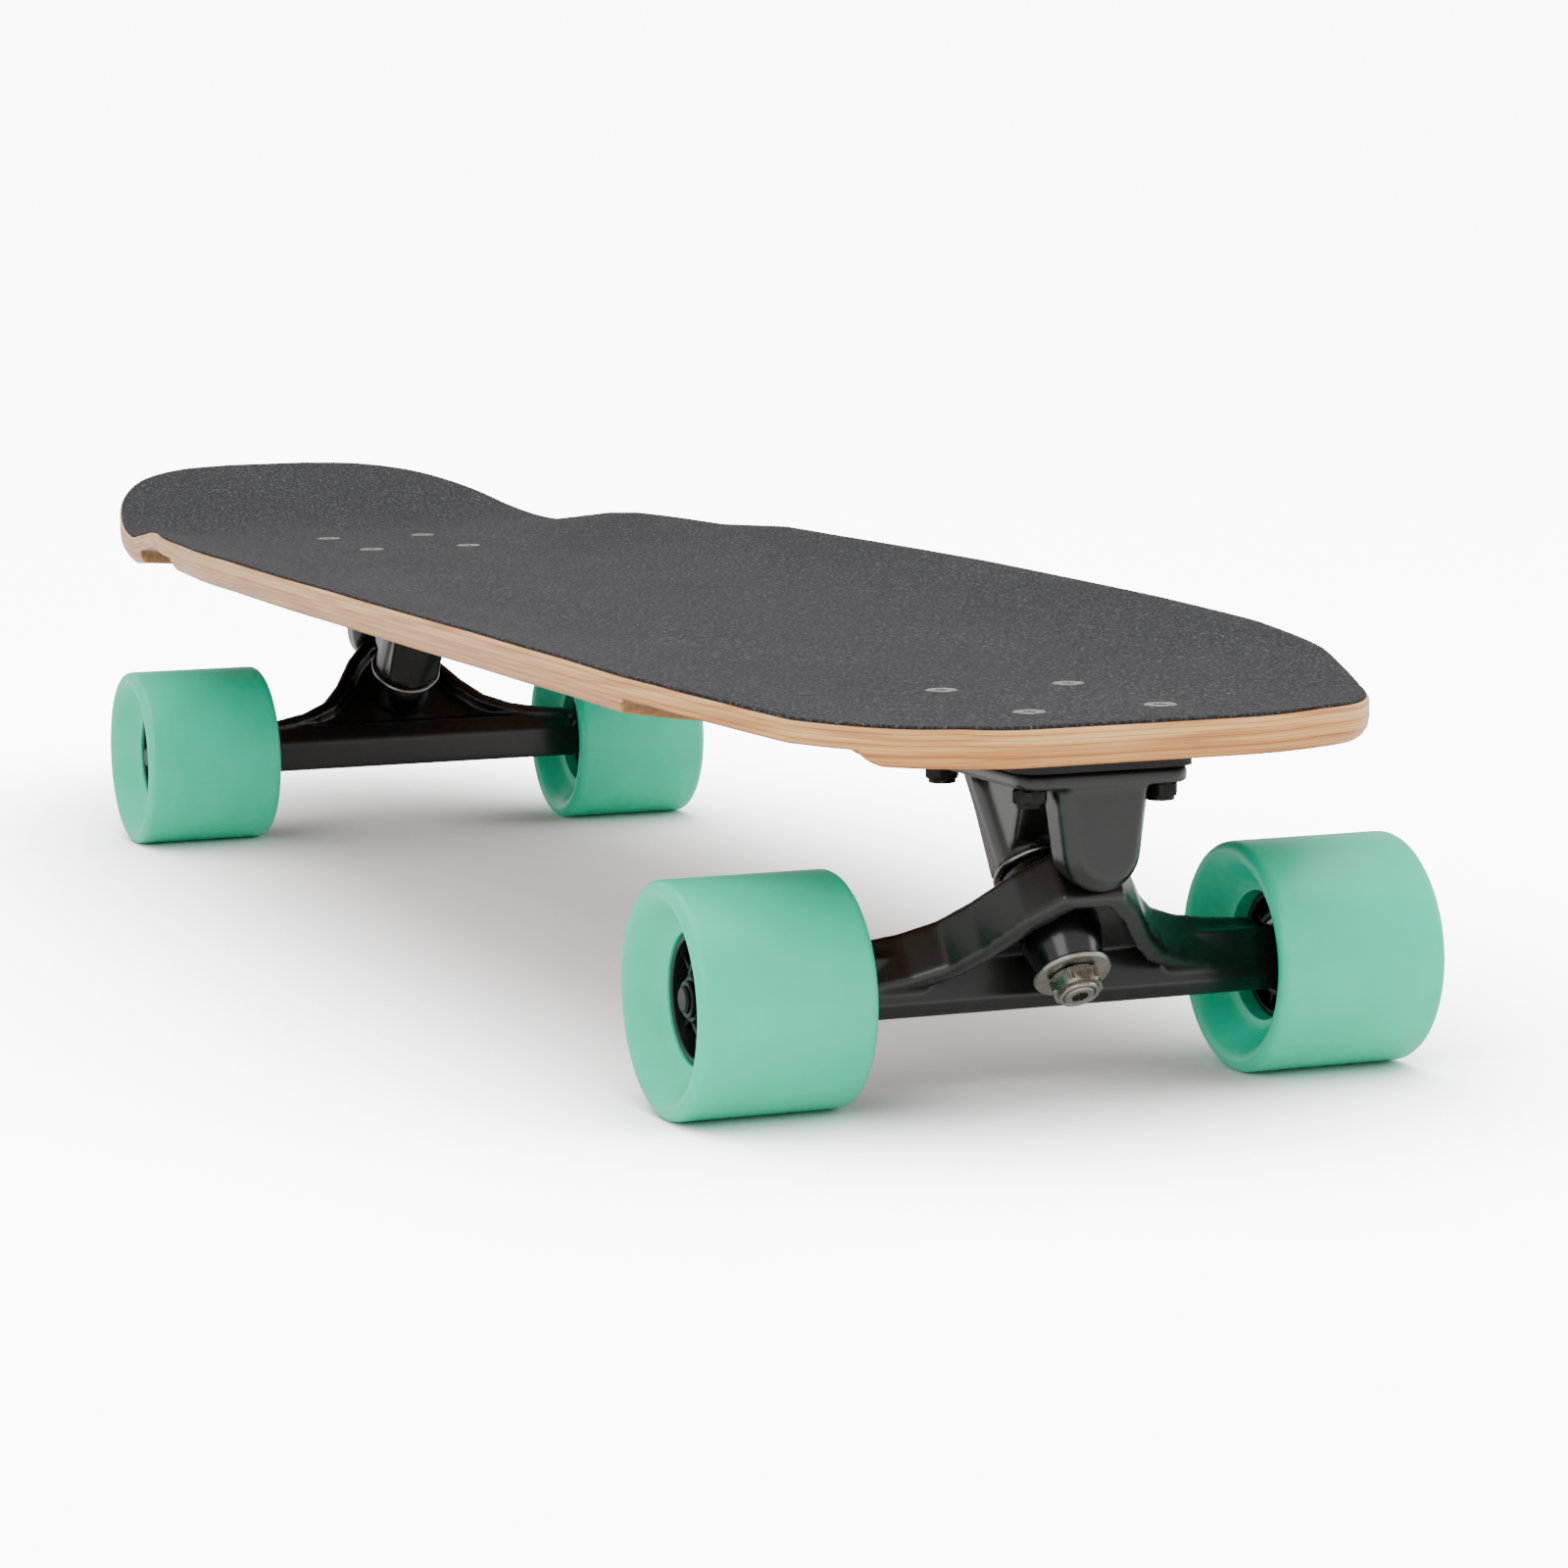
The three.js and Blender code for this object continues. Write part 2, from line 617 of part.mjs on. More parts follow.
function armPrism(margin, bottom, top, easing = 0) {
  const prism = new THREE.ExtrudeGeometry(armShape(margin), {
    depth: top - bottom - 2 * easing,
    bevelEnabled: easing > 0,
    bevelThickness: easing,
    bevelSize: easing,
    bevelOffset: -easing,
    bevelSegments: 1,
  });
  return prism.translate(0, 0, bottom + easing);
}

// The axle bar: a bar with eased edges across the truck.
function axleBar() {
  const section = new THREE.Shape();
  const corners = [[-9, -8], [7, -9.5], [9.5, -5], [5, 9.5], [-4, 9.5], [-9, 4]];
  corners.forEach(([x, z], index) => (index ? section.lineTo(x, z) : section.moveTo(x, z)));
  const bar = new THREE.ExtrudeGeometry(section, { depth: 2 * HANGER_HALF_WIDTH, bevelEnabled: false });
  return bar.rotateX(Math.PI / 2).translate(0, HANGER_HALF_WIDTH, 0);
}

function buildHanger() {
  const web = [RING_H - WEB_HALF_THICKNESS, RING_H + WEB_HALF_THICKNESS];
  const arms = cutAway(
    armPrism(0, ARM_LIP_H, ARM_TOP_H, ARM_EASING),
    armPrism(ARM_LIP_THICKNESS, ARM_LIP_H - 1, web[0]),
    armPrism(ARM_LIP_THICKNESS, web[1], ARM_TOP_H + 1),
  );
  const ring = rod(18, web[0], web[1], 18).translate(RING_U, 0, 0);
  const nose = turned([
    [0, -14], [8, -14], [7.6, -7.8], [PIVOT_NOSE_RADIUS, -6.8], [PIVOT_NOSE_RADIUS, -0.6],
    [3.4, 1], [0, 1.8],
  ]);
  const raised = joinUp(
    alongKingpin(arms, 0), alongKingpin(ring, 0), alongSteering(nose, PIVOT_U), axleBar(),
  );
  const boardRoom = alongKingpin(rod(BOARD_BUSHING_RADIUS + 3, web[1], 60, 18));
  const roadRoom = alongKingpin(rod(ROAD_BUSHING_WIDE_RADIUS + 2, -60, web[0], 18));
  const kingpinHole = alongKingpin(rod(RING_HOLE_RADIUS, -20, 20));
  const axleHole = rod(AXLE_RADIUS + FIT_GAP, -90, 90).rotateX(Math.PI / 2);
  return cutAway(raised, boardRoom, roadRoom, kingpinHole, axleHole);
}

// ---------------------------------------------------------------- assembly

const skateboard = new THREE.Group();
skateboard.position.x = BOARD_SHIFT_X;

function addPiece(parent, name, geometry, look) {
  const piece = new THREE.Mesh(geometry, finish(...look));
  piece.name = name;
  parent.add(piece);
  return piece;
}

function addTruck(name, end) {
  const truck = new THREE.Group();
  truck.position.set(end * AXLE_SPACING / 2, 0, WHEEL_RADIUS);
  truck.rotation.z = end > 0 ? 0 : Math.PI;
  skateboard.add(truck);
  addPiece(truck, `${name}_riser_pad`, buildRiser(), BLACK_RUBBER);
  addPiece(truck, `${name}_baseplate`, buildBaseplate(), BLACK_CAST);
  addPiece(truck, `${name}_pivot_cup`, buildPivotCup(), BLACK_NYLON);
  addPiece(truck, `${name}_kingpin`, buildKingpin(), ZINC);
  addPiece(truck, `${name}_kingpin_nut`, buildKingpinNut(), ZINC);
  addPiece(truck, `${name}_board_washer`, buildBoardWasher(), ZINC);
  addPiece(truck, `${name}_board_bushing`, buildBoardBushing(), BLACK_URETHANE);
  addPiece(truck, `${name}_road_bushing`, buildRoadBushing(), BLACK_URETHANE);
  addPiece(truck, `${name}_road_washer`, buildRoadWasher(), ZINC);
  addPiece(truck, `${name}_hanger`, buildHanger(), BLACK_CAST);
  addPiece(truck, `${name}_axle`, buildAxle().rotateX(Math.PI / 2), STEEL);
  return truck;
}

function addWheel(name, x, side) {
  const wheel = new THREE.Group();
  wheel.position.set(x, side * WHEEL_TRACK / 2, WHEEL_RADIUS);
  wheel.rotation.x = -side * Math.PI / 2;
  skateboard.add(wheel);
  addPiece(wheel, `${name}_tyre`, buildTyre(), MINT_URETHANE);
  addPiece(wheel, `${name}_core`, buildCore(), BLACK_NYLON);
  for (const [place, z] of [['inner', -1], ['outer', 1]]) {
    const bearing = addPiece(wheel, `${name}_${place}_bearing`, buildBearing(), STEEL);
    bearing.position.z = z * (BEARING_SPACING + BEARING_WIDTH) / 2;
  }
  const nut = lockNut(AXLE_NUT_FLATS, AXLE_NUT_HEIGHT, AXLE_RADIUS + NUT_BORE_GAP).rotateX(Math.PI);
  addPiece(wheel, `${name}_axle_nut`, nut, BLACK_ZINC).position.z = BEARING_SPACING / 2 + BEARING_WIDTH + 0.9;
}

addPiece(skateboard, 'deck', buildDeck(), MAPLE);
addPiece(skateboard, 'grip_tape', buildGrip(), GRIP);

for (const [name, end] of [['nose', 1], ['tail', -1]]) {
  addTruck(name, end);
  for (const [sideName, side] of [['left', 1], ['right', -1]]) {
    addWheel(`${name}_${sideName}`, end * AXLE_SPACING / 2, side);
  }
}

for (const { end, out, side, x, y } of boltPlaces()) {
  const truckName = end > 0 ? 'nose' : 'tail';
  const label = `${truckName}_${out > 0 ? 'outer' : 'inner'}_${side > 0 ? 'left' : 'right'}`;
  addPiece(skateboard, `${label}_mount_bolt`, buildMountBolt(), ZINC).position.set(x, y, 0);
  const nut = addPiece(skateboard, `${label}_lock_nut`,
    lockNut(LOCK_NUT_FLATS, LOCK_NUT_HEIGHT, BOLT_RADIUS + NUT_BORE_GAP), BLACK_ZINC);
  nut.position.set(x, y, WHEEL_RADIUS + PLATE_BOTTOM - FIT_GAP);
}

export default skateboard;
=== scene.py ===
"""Looks of a skateboard: a maple kicktail deck on reverse-kingpin trucks with mint wheels."""

from __future__ import annotations

import logging
from dataclasses import dataclass, field
from enum import Enum
from math import cos, pi, radians, sin
from typing import Callable, Iterable, Sequence

import bmesh
import bpy
import numpy as np
from mathutils import Matrix, Vector


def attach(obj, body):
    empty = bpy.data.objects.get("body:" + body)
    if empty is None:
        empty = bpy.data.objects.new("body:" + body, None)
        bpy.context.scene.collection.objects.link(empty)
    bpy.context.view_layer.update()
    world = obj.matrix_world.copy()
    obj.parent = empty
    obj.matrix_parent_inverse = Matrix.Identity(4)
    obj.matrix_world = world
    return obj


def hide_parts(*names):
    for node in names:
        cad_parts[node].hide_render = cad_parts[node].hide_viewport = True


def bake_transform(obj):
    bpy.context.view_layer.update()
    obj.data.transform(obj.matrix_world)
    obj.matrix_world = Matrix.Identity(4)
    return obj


log = logging.getLogger("skateboard")
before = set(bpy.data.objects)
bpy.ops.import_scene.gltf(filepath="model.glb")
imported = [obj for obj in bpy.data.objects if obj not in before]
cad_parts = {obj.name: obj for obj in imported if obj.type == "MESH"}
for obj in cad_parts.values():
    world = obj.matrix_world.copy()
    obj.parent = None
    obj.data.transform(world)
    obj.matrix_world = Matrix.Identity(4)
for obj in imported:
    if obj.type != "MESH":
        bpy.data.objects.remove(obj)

MM = 0.001
SHIFT_X = 69.5
"""Distance from the point between the axles to the middle of the board, in millimetres."""


# ------------------------------------------------------------------ measures


@dataclass(frozen=True)
class Layout:
    """Where the big parts sit, in millimetres, from the point between the axles."""

    axle_x: float = 317.25
    axle_z: float = 35.0
    wheel_y: float = 91.5
    bolt_out: float = 10.0
    bolt_dx: float = 31.75
    bolt_dy: float = 20.64
    tilt: float = radians(40.0)
    ring_u: float = 21.9
    ring_h: float = 4.0


LAYOUT = Layout()


class End(Enum):
    """The two ends of the board; the value turns the truck about Z."""

    NOSE = 1
    TAIL = -1

    @property
    def word(self) -> str:
        """The end's name as the nodes use it."""
        return self.name.lower()


class Side(Enum):
    """The two sides of the board; the value is the sign of Y."""

    LEFT = 1
    RIGHT = -1

    @property
    def word(self) -> str:
        """The side's name as the nodes use it."""
        return self.name.lower()


def truck_place(end: End) -> Matrix:
    """The matrix from a truck's own millimetres, about its axle centre, to the board's metres."""
    where = Vector((end.value * LAYOUT.axle_x + SHIFT_X, 0.0, LAYOUT.axle_z))
    turn = Matrix.Rotation(0.0 if end is End.NOSE else pi, 4, "Z")
    return Matrix.Scale(MM, 4) @ Matrix.Translation(where) @ turn


def kingpin_place(u: float = LAYOUT.ring_u, h: float = 0.0) -> Matrix:
    """The matrix from a piece turned about Z to the kingpin's line, u up the steering axis."""
    return Matrix.Rotation(-LAYOUT.tilt, 4, "Y") @ Matrix.Translation((u, 0.0, h))


def wheel_place(end: End, side: Side) -> Matrix:
    """The matrix from a piece turned about Z to a wheel's axle, +Z outwards."""
    where = (
        end.value * LAYOUT.axle_x + SHIFT_X,
        side.value * LAYOUT.wheel_y,
        LAYOUT.axle_z,
    )
    turn = Matrix.Rotation(-side.value * pi / 2, 4, "X")
    return Matrix.Scale(MM, 4) @ Matrix.Translation(where) @ turn


# ------------------------------------------------------------------ meshes


@dataclass
class Shell:
    """A closed surface on a grid of points, in millimetres.

    Rows run along the first parameter and columns along the second. Columns always join round.
    """

    points: np.ndarray
    rows_join: bool = False
    values: np.ndarray | None = None

    def faces(self) -> np.ndarray:
        """The grid's quads as corner indices, one row of four for each."""
        rows, columns = self.points.shape[:2]
        r = np.arange(rows if self.rows_join else rows - 1)
        c = np.arange(columns)
        row, column = np.meshgrid(r, c, indexing="ij")
        below, beside = (row + 1) % rows, (column + 1) % columns
        corners = (
            row * columns + column,
            row * columns + beside,
            below * columns + beside,
            below * columns + column,
        )
        return np.stack(corners, axis=-1).reshape(-1, 4)


def turned(profile: Sequence[tuple[float, float]], sides: int = 64) -> Shell:
    """A profile turned about Z: each point is (r cos a, r sin a, z) for a right round.

    Args:
        profile: Points (radius, height). It joins up when it never meets the axis.
        sides: Number of steps round.

    Returns:
        The turned surface.
    """
    line = np.asarray(profile, float)
    angle = np.linspace(0, 2 * pi, sides, endpoint=False)
    radius, height = line[:, :1], line[:, 1:]
    grid = np.stack(
        (
            radius * np.cos(angle),
            radius * np.sin(angle),
            np.broadcast_to(height, (len(line), sides)),
        ),
        axis=-1,
    )
    return Shell(grid, rows_join=bool(line[:, 0].min() > 1e-6))


def eased(
    profile: Sequence[tuple[float, float]], radius: float, steps: int = 4, loop: bool = True
) -> list[tuple[float, float]]:
    """Rounds a profile's corners: each corner becomes a quadratic curve between its two sides.

    Args:
        profile: Points (radius, height).
        radius: Distance from the corner at which the rounding starts, in millimetres.
        steps: Segments in each rounding.
        loop: Whether the last point joins the first.

    Returns:
        The profile with more points.
    """
    line = np.asarray(profile, float)
    before, after = np.roll(line, 1, axis=0), np.roll(line, -1, axis=0)
    back, ahead = before - line, after - line
    reach_back = np.minimum(radius, np.linalg.norm(back, axis=1) * 0.45)[:, None]
    reach_ahead = np.minimum(radius, np.linalg.norm(ahead, axis=1) * 0.45)[:, None]
    start = line + back / np.maximum(np.linalg.norm(back, axis=1), 1e-9)[:, None] * reach_back
    stop = line + ahead / np.maximum(np.linalg.norm(ahead, axis=1), 1e-9)[:, None] * reach_ahead
    t = np.linspace(0, 1, steps + 1)[None, :, None]
    curve = (1 - t) ** 2 * start[:, None] + 2 * t * (1 - t) * line[:, None] + t**2 * stop[:, None]
    if not loop:
        curve[0] = line[0]
        curve[-1] = line[-1]
    return [tuple(p) for p in curve.reshape(-1, 2)]


def hexagonal(flats: float, profile: Sequence[tuple[float, float]], sides: int = 72) -> Shell:
    """A nut's hexagon: the profile's radius, cut off where the six flats are nearer the axis.

    Args:
        flats: Distance across the flats.
        profile: Points (radius, height) of the round envelope, with its chamfers.
        sides: Number of steps round.

    Returns:
        The surface.
    """
    shell = turned(profile, sides)
    angle = np.linspace(0, 2 * pi, sides, endpoint=False)
    sector = (angle + pi / 6) % (pi / 3) - pi / 6
    limit = flats / 2 / np.cos(sector)
    radius = np.hypot(shell.points[..., 0], shell.points[..., 1])
    share = np.minimum(1.0, limit / np.maximum(radius, 1e-6))
    shell.points[..., :2] *= share[..., None]
    return shell


def boxed(size: tuple[float, float, float], centre: tuple[float, float, float]) -> Shell:
    """A bar with eased corners: a superellipse |x|^6 + |y|^6 = 1 carried up Z, drawn in at both ends.

    Args:
        size: Width, depth and height.
        centre: The bar's middle.

    Returns:
        The surface.
    """
    angle = np.linspace(0, 2 * pi, 32, endpoint=False)
    c, s = np.cos(angle), np.sin(angle)
    reach = (np.abs(c) ** 6 + np.abs(s) ** 6) ** (-1 / 6)
    levels = np.array([-0.5, -0.5, -0.47, 0.47, 0.5, 0.5])
    shrink = np.array([0.0, 0.9, 1.0, 1.0, 0.9, 0.0])
    grid = np.stack(
        (
            centre[0] + shrink[:, None] * reach * c * size[0] / 2,
            centre[1] + shrink[:, None] * reach * s * size[1] / 2,
            np.broadcast_to(centre[2] + levels[:, None] * size[2], (6, 32)),
        ),
        axis=-1,
    )
    return Shell(grid)


def piece(
    name: str,
    shells: Iterable[Shell],
    place: Matrix,
    look: bpy.types.Material,
    body: str,
    stands_for: Sequence[str] = (),
    crease: float = 35.0,
) -> bpy.types.Object:
    """Puts closed surfaces into one object at the origin and ties it to a body.

    Args:
        name: The piece's name.
        shells: Surfaces in millimetres.
        place: Matrix to the board's metres.
        look: Its material.
        body: The body it rides on, or nothing to leave it unattached.
        stands_for: CAD nodes that it replaces.
        crease: Angle in degrees past which an edge is sharp.

    Returns:
        The new object.
    """
    points, faces, values, count = [], [], [], 0
    turn = np.array(place)
    for shell in shells:
        flat = shell.points.reshape(-1, 3)
        points.append(flat @ turn[:3, :3].T + turn[:3, 3])
        faces.append(shell.faces() + count)
        values.append(np.zeros(len(flat)) if shell.values is None else shell.values.ravel())
        count += len(flat)
    mesh = bpy.data.meshes.new(name)
    mesh.from_pydata(np.concatenate(points), [], np.concatenate(faces).tolist())
    shade = mesh.attributes.new("band", "FLOAT", "POINT")
    shade.data.foreach_set("value", np.concatenate(values).astype(np.float32))
    tidy = bmesh.new()
    tidy.from_mesh(mesh)
    bmesh.ops.remove_doubles(tidy, verts=tidy.verts, dist=2e-6)
    bmesh.ops.dissolve_degenerate(tidy, edges=tidy.edges, dist=1e-7)
    bmesh.ops.recalc_face_normals(tidy, faces=tidy.faces)
    tidy.to_mesh(mesh)
    tidy.free()
    mesh.shade_smooth()
    mesh.set_sharp_from_angle(angle=radians(crease))
    mesh.materials.append(look)
    made = bpy.data.objects.new(name, mesh)
    bpy.context.scene.collection.objects.link(made)
    if body:
        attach(made, body)
    if stands_for:
        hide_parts(*stands_for)
    log.info("%s: %d faces", name, len(mesh.polygons))
    return made


# ------------------------------------------------------------------ finishes


def linear(code: str) -> tuple[float, float, float, float]:
    """An sRGB hex colour as linear light, with full alpha."""
    part = np.array([int(code[i : i + 2], 16) for i in (1, 3, 5)]) / 255
    light = np.where(part <= 0.04045, part / 12.92, ((part + 0.055) / 1.055) ** 2.4)
    return (*map(float, light), 1.0)


# Settings of a mix node that multiplies two colours.
MULTIPLY = {"data_type": "RGBA", "blend_type": "MULTIPLY"}


class Nodes:
    """A material's node tree and the one way of adding to it."""

    def __init__(self, name: str) -> None:
        """Starts an empty material with a Principled shader."""
        self.material = bpy.data.materials.new(name)
        self.material.use_nodes = True
        self.tree = self.material.node_tree
        self.shader = self.tree.nodes["Principled BSDF"]

    def add(self, kind: str, settings: dict | None = None, **links: object) -> bpy.types.Node:
        """Adds a node.

        Args:
            kind: The node's type name.
            settings: Attributes of the node.
            **links: Values or sockets for its inputs; a name's "_" stands for a space, and
                i0, i1 and so on give an input by its number.

        Returns:
            The node.
        """
        node = self.tree.nodes.new(kind)
        for key, value in (settings or {}).items():
            setattr(node, key, value)
        for key, value in links.items():
            numbered = key[0] == "i" and key[1:].isdigit()
            socket = node.inputs[int(key[1:]) if numbered else key.replace("_", " ")]
            if isinstance(value, bpy.types.NodeSocket):
                self.tree.links.new(value, socket)
            else:
                socket.default_value = value
        return node

    def ramp(
        self, value: bpy.types.NodeSocket, stops: Sequence[tuple[float, str]]
    ) -> bpy.types.NodeSocket:
        """A colour ramp over hex colours; returns its colour socket."""
        node = self.add("ShaderNodeValToRGB", Fac=value)
        elements = node.color_ramp.elements
        elements[0].position, elements[0].color = stops[0][0], linear(stops[0][1])
        elements[1].position, elements[1].color = stops[-1][0], linear(stops[-1][1])
        for position, code in stops[1:-1]:
            elements.new(position).color = linear(code)
        return node.outputs["Color"]

    def noise(
        self, size_mm: float, stretch: tuple[float, float, float] = (1, 1, 1), detail: float = 2.0
    ) -> bpy.types.NodeSocket:
        """Noise whose blotches are size_mm across, longer where stretch is small."""
        where = self.add("ShaderNodeTexCoord").outputs["Object"]
        scaled = self.add("ShaderNodeMapping", Vector=where, Scale=stretch).outputs["Vector"]
        return self.add(
            "ShaderNodeTexNoise", Vector=scaled, Scale=1000.0 / size_mm, Detail=detail
        ).outputs["Fac"]

    def bump(self, height: bpy.types.NodeSocket, depth_mm: float, strength: float = 1.0) -> None:
        """Raises the surface by up to depth_mm where height is 1."""
        node = self.add("ShaderNodeBump", Height=height, Distance=depth_mm * MM, Strength=strength)
        self.tree.links.new(node.outputs["Normal"], self.shader.inputs["Normal"])

    def set(self, **values: object) -> None:
        """Sets or links the shader's own sockets."""
        for key, value in values.items():
            socket = self.shader.inputs[key.replace("_", " ")]
            if isinstance(value, bpy.types.NodeSocket):
                self.tree.links.new(value, socket)
            else:
                socket.default_value = value


@dataclass(frozen=True)
class Finish:
    """A plain finish: two close shades in soft blotches, a roughness range and a fine bump."""

    name: str
    dark: str
    light: str
    roughness: tuple[float, float]
    metallic: float = 0.0
    grain_mm: float = 1.5
    bump_mm: float = 0.02
    coat: float = 0.0
    subsurface: float = 0.0

    def material(self) -> bpy.types.Material:
        """Builds the material."""
        made = Nodes(self.name)
        blotch = made.noise(self.grain_mm * 8, detail=3.0)
        grain = made.noise(self.grain_mm)
        rough = made.add(
            "ShaderNodeMapRange", Value=grain, To_Min=self.roughness[0], To_Max=self.roughness[1]
        ).outputs["Result"]
        made.set(
            Base_Color=made.ramp(blotch, ((0.3, self.dark), (0.7, self.light))),
            Roughness=rough,
            Metallic=self.metallic,
            Coat_Weight=self.coat,
            Coat_Roughness=0.15,
            Subsurface_Weight=self.subsurface,
            Subsurface_Scale=0.004,
        )
        if self.subsurface:
            made.set(Subsurface_Radius=(0.6, 1.0, 0.9))
        made.bump(grain, self.bump_mm)
        return made.material


@dataclass(frozen=True)
class GripTape:
    """Silicon carbide grit on cloth: charcoal with paler grains, dull from every side."""

    grain_mm: float = 1.1

    def material(self) -> bpy.types.Material:
        """Builds the material. The grains are drawn coarser than 80 grit so that they show."""
        made = Nodes("grip_silicon_carbide_grit")
        grain = made.noise(self.grain_mm, detail=4.0)
        wear = made.noise(60.0, stretch=(0.5, 1.0, 1.0), detail=4.0)
        base = made.ramp(
            grain, ((0.36, "#1D1D1F"), (0.5, "#2C2C2E"), (0.62, "#454548"), (0.74, "#77787B"))
        )
        tone = made.ramp(wear, ((0.3, "#E4E4E6"), (0.7, "#FFFFFF")))
        mixed = made.add("ShaderNodeMix", MULTIPLY, i0=1.0, i6=base, i7=tone).outputs[2]
        made.set(Base_Color=mixed, Roughness=0.92, Specular_IOR_Level=0.35)
        made.bump(grain, 0.35)
        return made.material


@dataclass(frozen=True)
class MaplePlies:
    """Seven rotary-cut maple veneers under clear lacquer: pale bands with fine brown glue lines."""

    plies: int = 7

    def material(self) -> bpy.types.Material:
        """Builds the material. The piece's band attribute runs from 0 at the top to 1 below."""
        made = Nodes("maple_veneer_pressed_lacquered")
        band = made.add("ShaderNodeAttribute", {"attribute_name": "band"}).outputs["Fac"]
        along = made.noise(2.2, stretch=(0.05, 1.0, 1.0), detail=5.0)
        around = made.noise(1.6, stretch=(0.03, 0.03, 1.0), detail=4.0)
        under = made.add(
            "ShaderNodeMapRange", Value=band, From_Min=0.97, From_Max=0.99
        ).outputs["Result"]
        grain = made.add("ShaderNodeMix", i0=under, i2=around, i3=along).outputs[0]
        figure = made.noise(40.0, stretch=(0.25, 1.0, 1.0), detail=3.0)
        count = made.add(
            "ShaderNodeMath", {"operation": "MULTIPLY"}, i0=band, i1=float(self.plies)
        ).outputs[0]
        within = made.add("ShaderNodeMath", {"operation": "FRACT"}, i0=count).outputs[0]
        shades = (
            "#FFD398", "#F4B66C", "#FCCC8A", "#EAA858", "#F8C27A", "#DD9644", "#EEB064", "#D0893A"
        )
        plies = made.ramp(band, tuple((i / 7 + 0.001, c) for i, c in enumerate(shades)))
        glue = made.ramp(
            within, ((0.0, "#8A5F3A"), (0.1, "#FFFFFF"), (0.92, "#FFFFFF"), (1.0, "#9A6E46"))
        )
        lines = made.ramp(grain, ((0.38, "#CFA67C"), (0.58, "#FFFFFF")))
        warm = made.ramp(figure, ((0.3, "#F3E6D6"), (0.7, "#FFFFFF")))
        wood = plies
        for share, tint in ((0.8, glue), (0.7, lines), (0.6, warm)):
            wood = made.add("ShaderNodeMix", MULTIPLY, i0=share, i6=wood, i7=tint).outputs[2]
        # In the wheel wells the wood is mixed to dark brown: partly the plies' end grain, partly
        # painted shade in the recess.
        well_end_grain_and_shade = made.add(
            "ShaderNodeMapRange", Value=band, From_Min=1.0, From_Max=1.5
        ).outputs["Result"]
        ends = made.ramp(grain, ((0.3, "#7D4F28"), (0.7, "#A87240")))
        colour = made.add(
            "ShaderNodeMix", {"data_type": "RGBA"}, i0=well_end_grain_and_shade, i6=wood, i7=ends
        ).outputs[2]
        made.set(Base_Color=colour, Roughness=0.42, Coat_Weight=0.25, Coat_Roughness=0.2)
        made.bump(grain, 0.03)
        return made.material


class Finishes:
    """Every material of the board, made once."""

    def __init__(self) -> None:
        """Makes the materials."""
        self.grip = GripTape().material()
        self.maple = MaplePlies().material()
        # Cast polyurethane: smooth satin mint with a little light inside it.
        self.mint = Finish(
            "polyurethane_cast_mint",
            "#12DFB0",
            "#18E6B8",
            (0.28, 0.36),
            grain_mm=2.5,
            bump_mm=0.01,
            subsurface=0.12,
        ).material()
        # Glass-filled nylon, moulded: near black with a soft gloss.
        self.nylon = Finish(
            "nylon_moulded_black", "#0D0D0E", "#151516", (0.28, 0.4), grain_mm=0.8
        ).material()
        # Aluminium, gravity cast and powder coated: satin black with a faint orange peel.
        self.coat = Finish(
            "aluminium_cast_powder_coated_black",
            "#0D0C0B",
            "#141312",
            (0.27, 0.38),
            grain_mm=1.0,
            bump_mm=0.02,
            coat=0.3,
        ).material()
        # Cast polyurethane bushing: glossy black.
        self.bushing = Finish(
            "polyurethane_bushing_black", "#08080A", "#101012", (0.15, 0.25), grain_mm=2.0, coat=0.3
        ).material()
        # Natural rubber, pressed sheet: matt black.
        self.rubber = Finish(
            "rubber_pressed_black", "#121212", "#1B1B1B", (0.6, 0.75), grain_mm=1.0, bump_mm=0.04
        ).material()
        # Carbon steel, zinc plated: grey with soft reflections.
        self.zinc = Finish(
            "steel_zinc_plated",
            "#8C8880",
            "#ADA8A0",
            (0.22, 0.32),
            metallic=1.0,
            grain_mm=0.7,
            bump_mm=0.006,
        ).material()
        # Carbon steel, turned: bright.
        self.steel = Finish(
            "steel_turned_bright", "#B4B3B0", "#CFCECB", (0.18, 0.3), metallic=1.0, grain_mm=0.5
        ).material()
        # Carbon steel, black oxide: dark with a metal sheen.
        self.oxide = Finish(
            "steel_black_oxide", "#1E1C1A", "#2C2926", (0.3, 0.45), metallic=0.8, grain_mm=0.6
        ).material()
        # Nitrile rubber shield of a bearing: dull black.
        self.shield = Finish(
            "nitrile_shield_black", "#161617", "#232325", (0.4, 0.5), grain_mm=0.6
        ).material()


# ------------------------------------------------------------------ deck


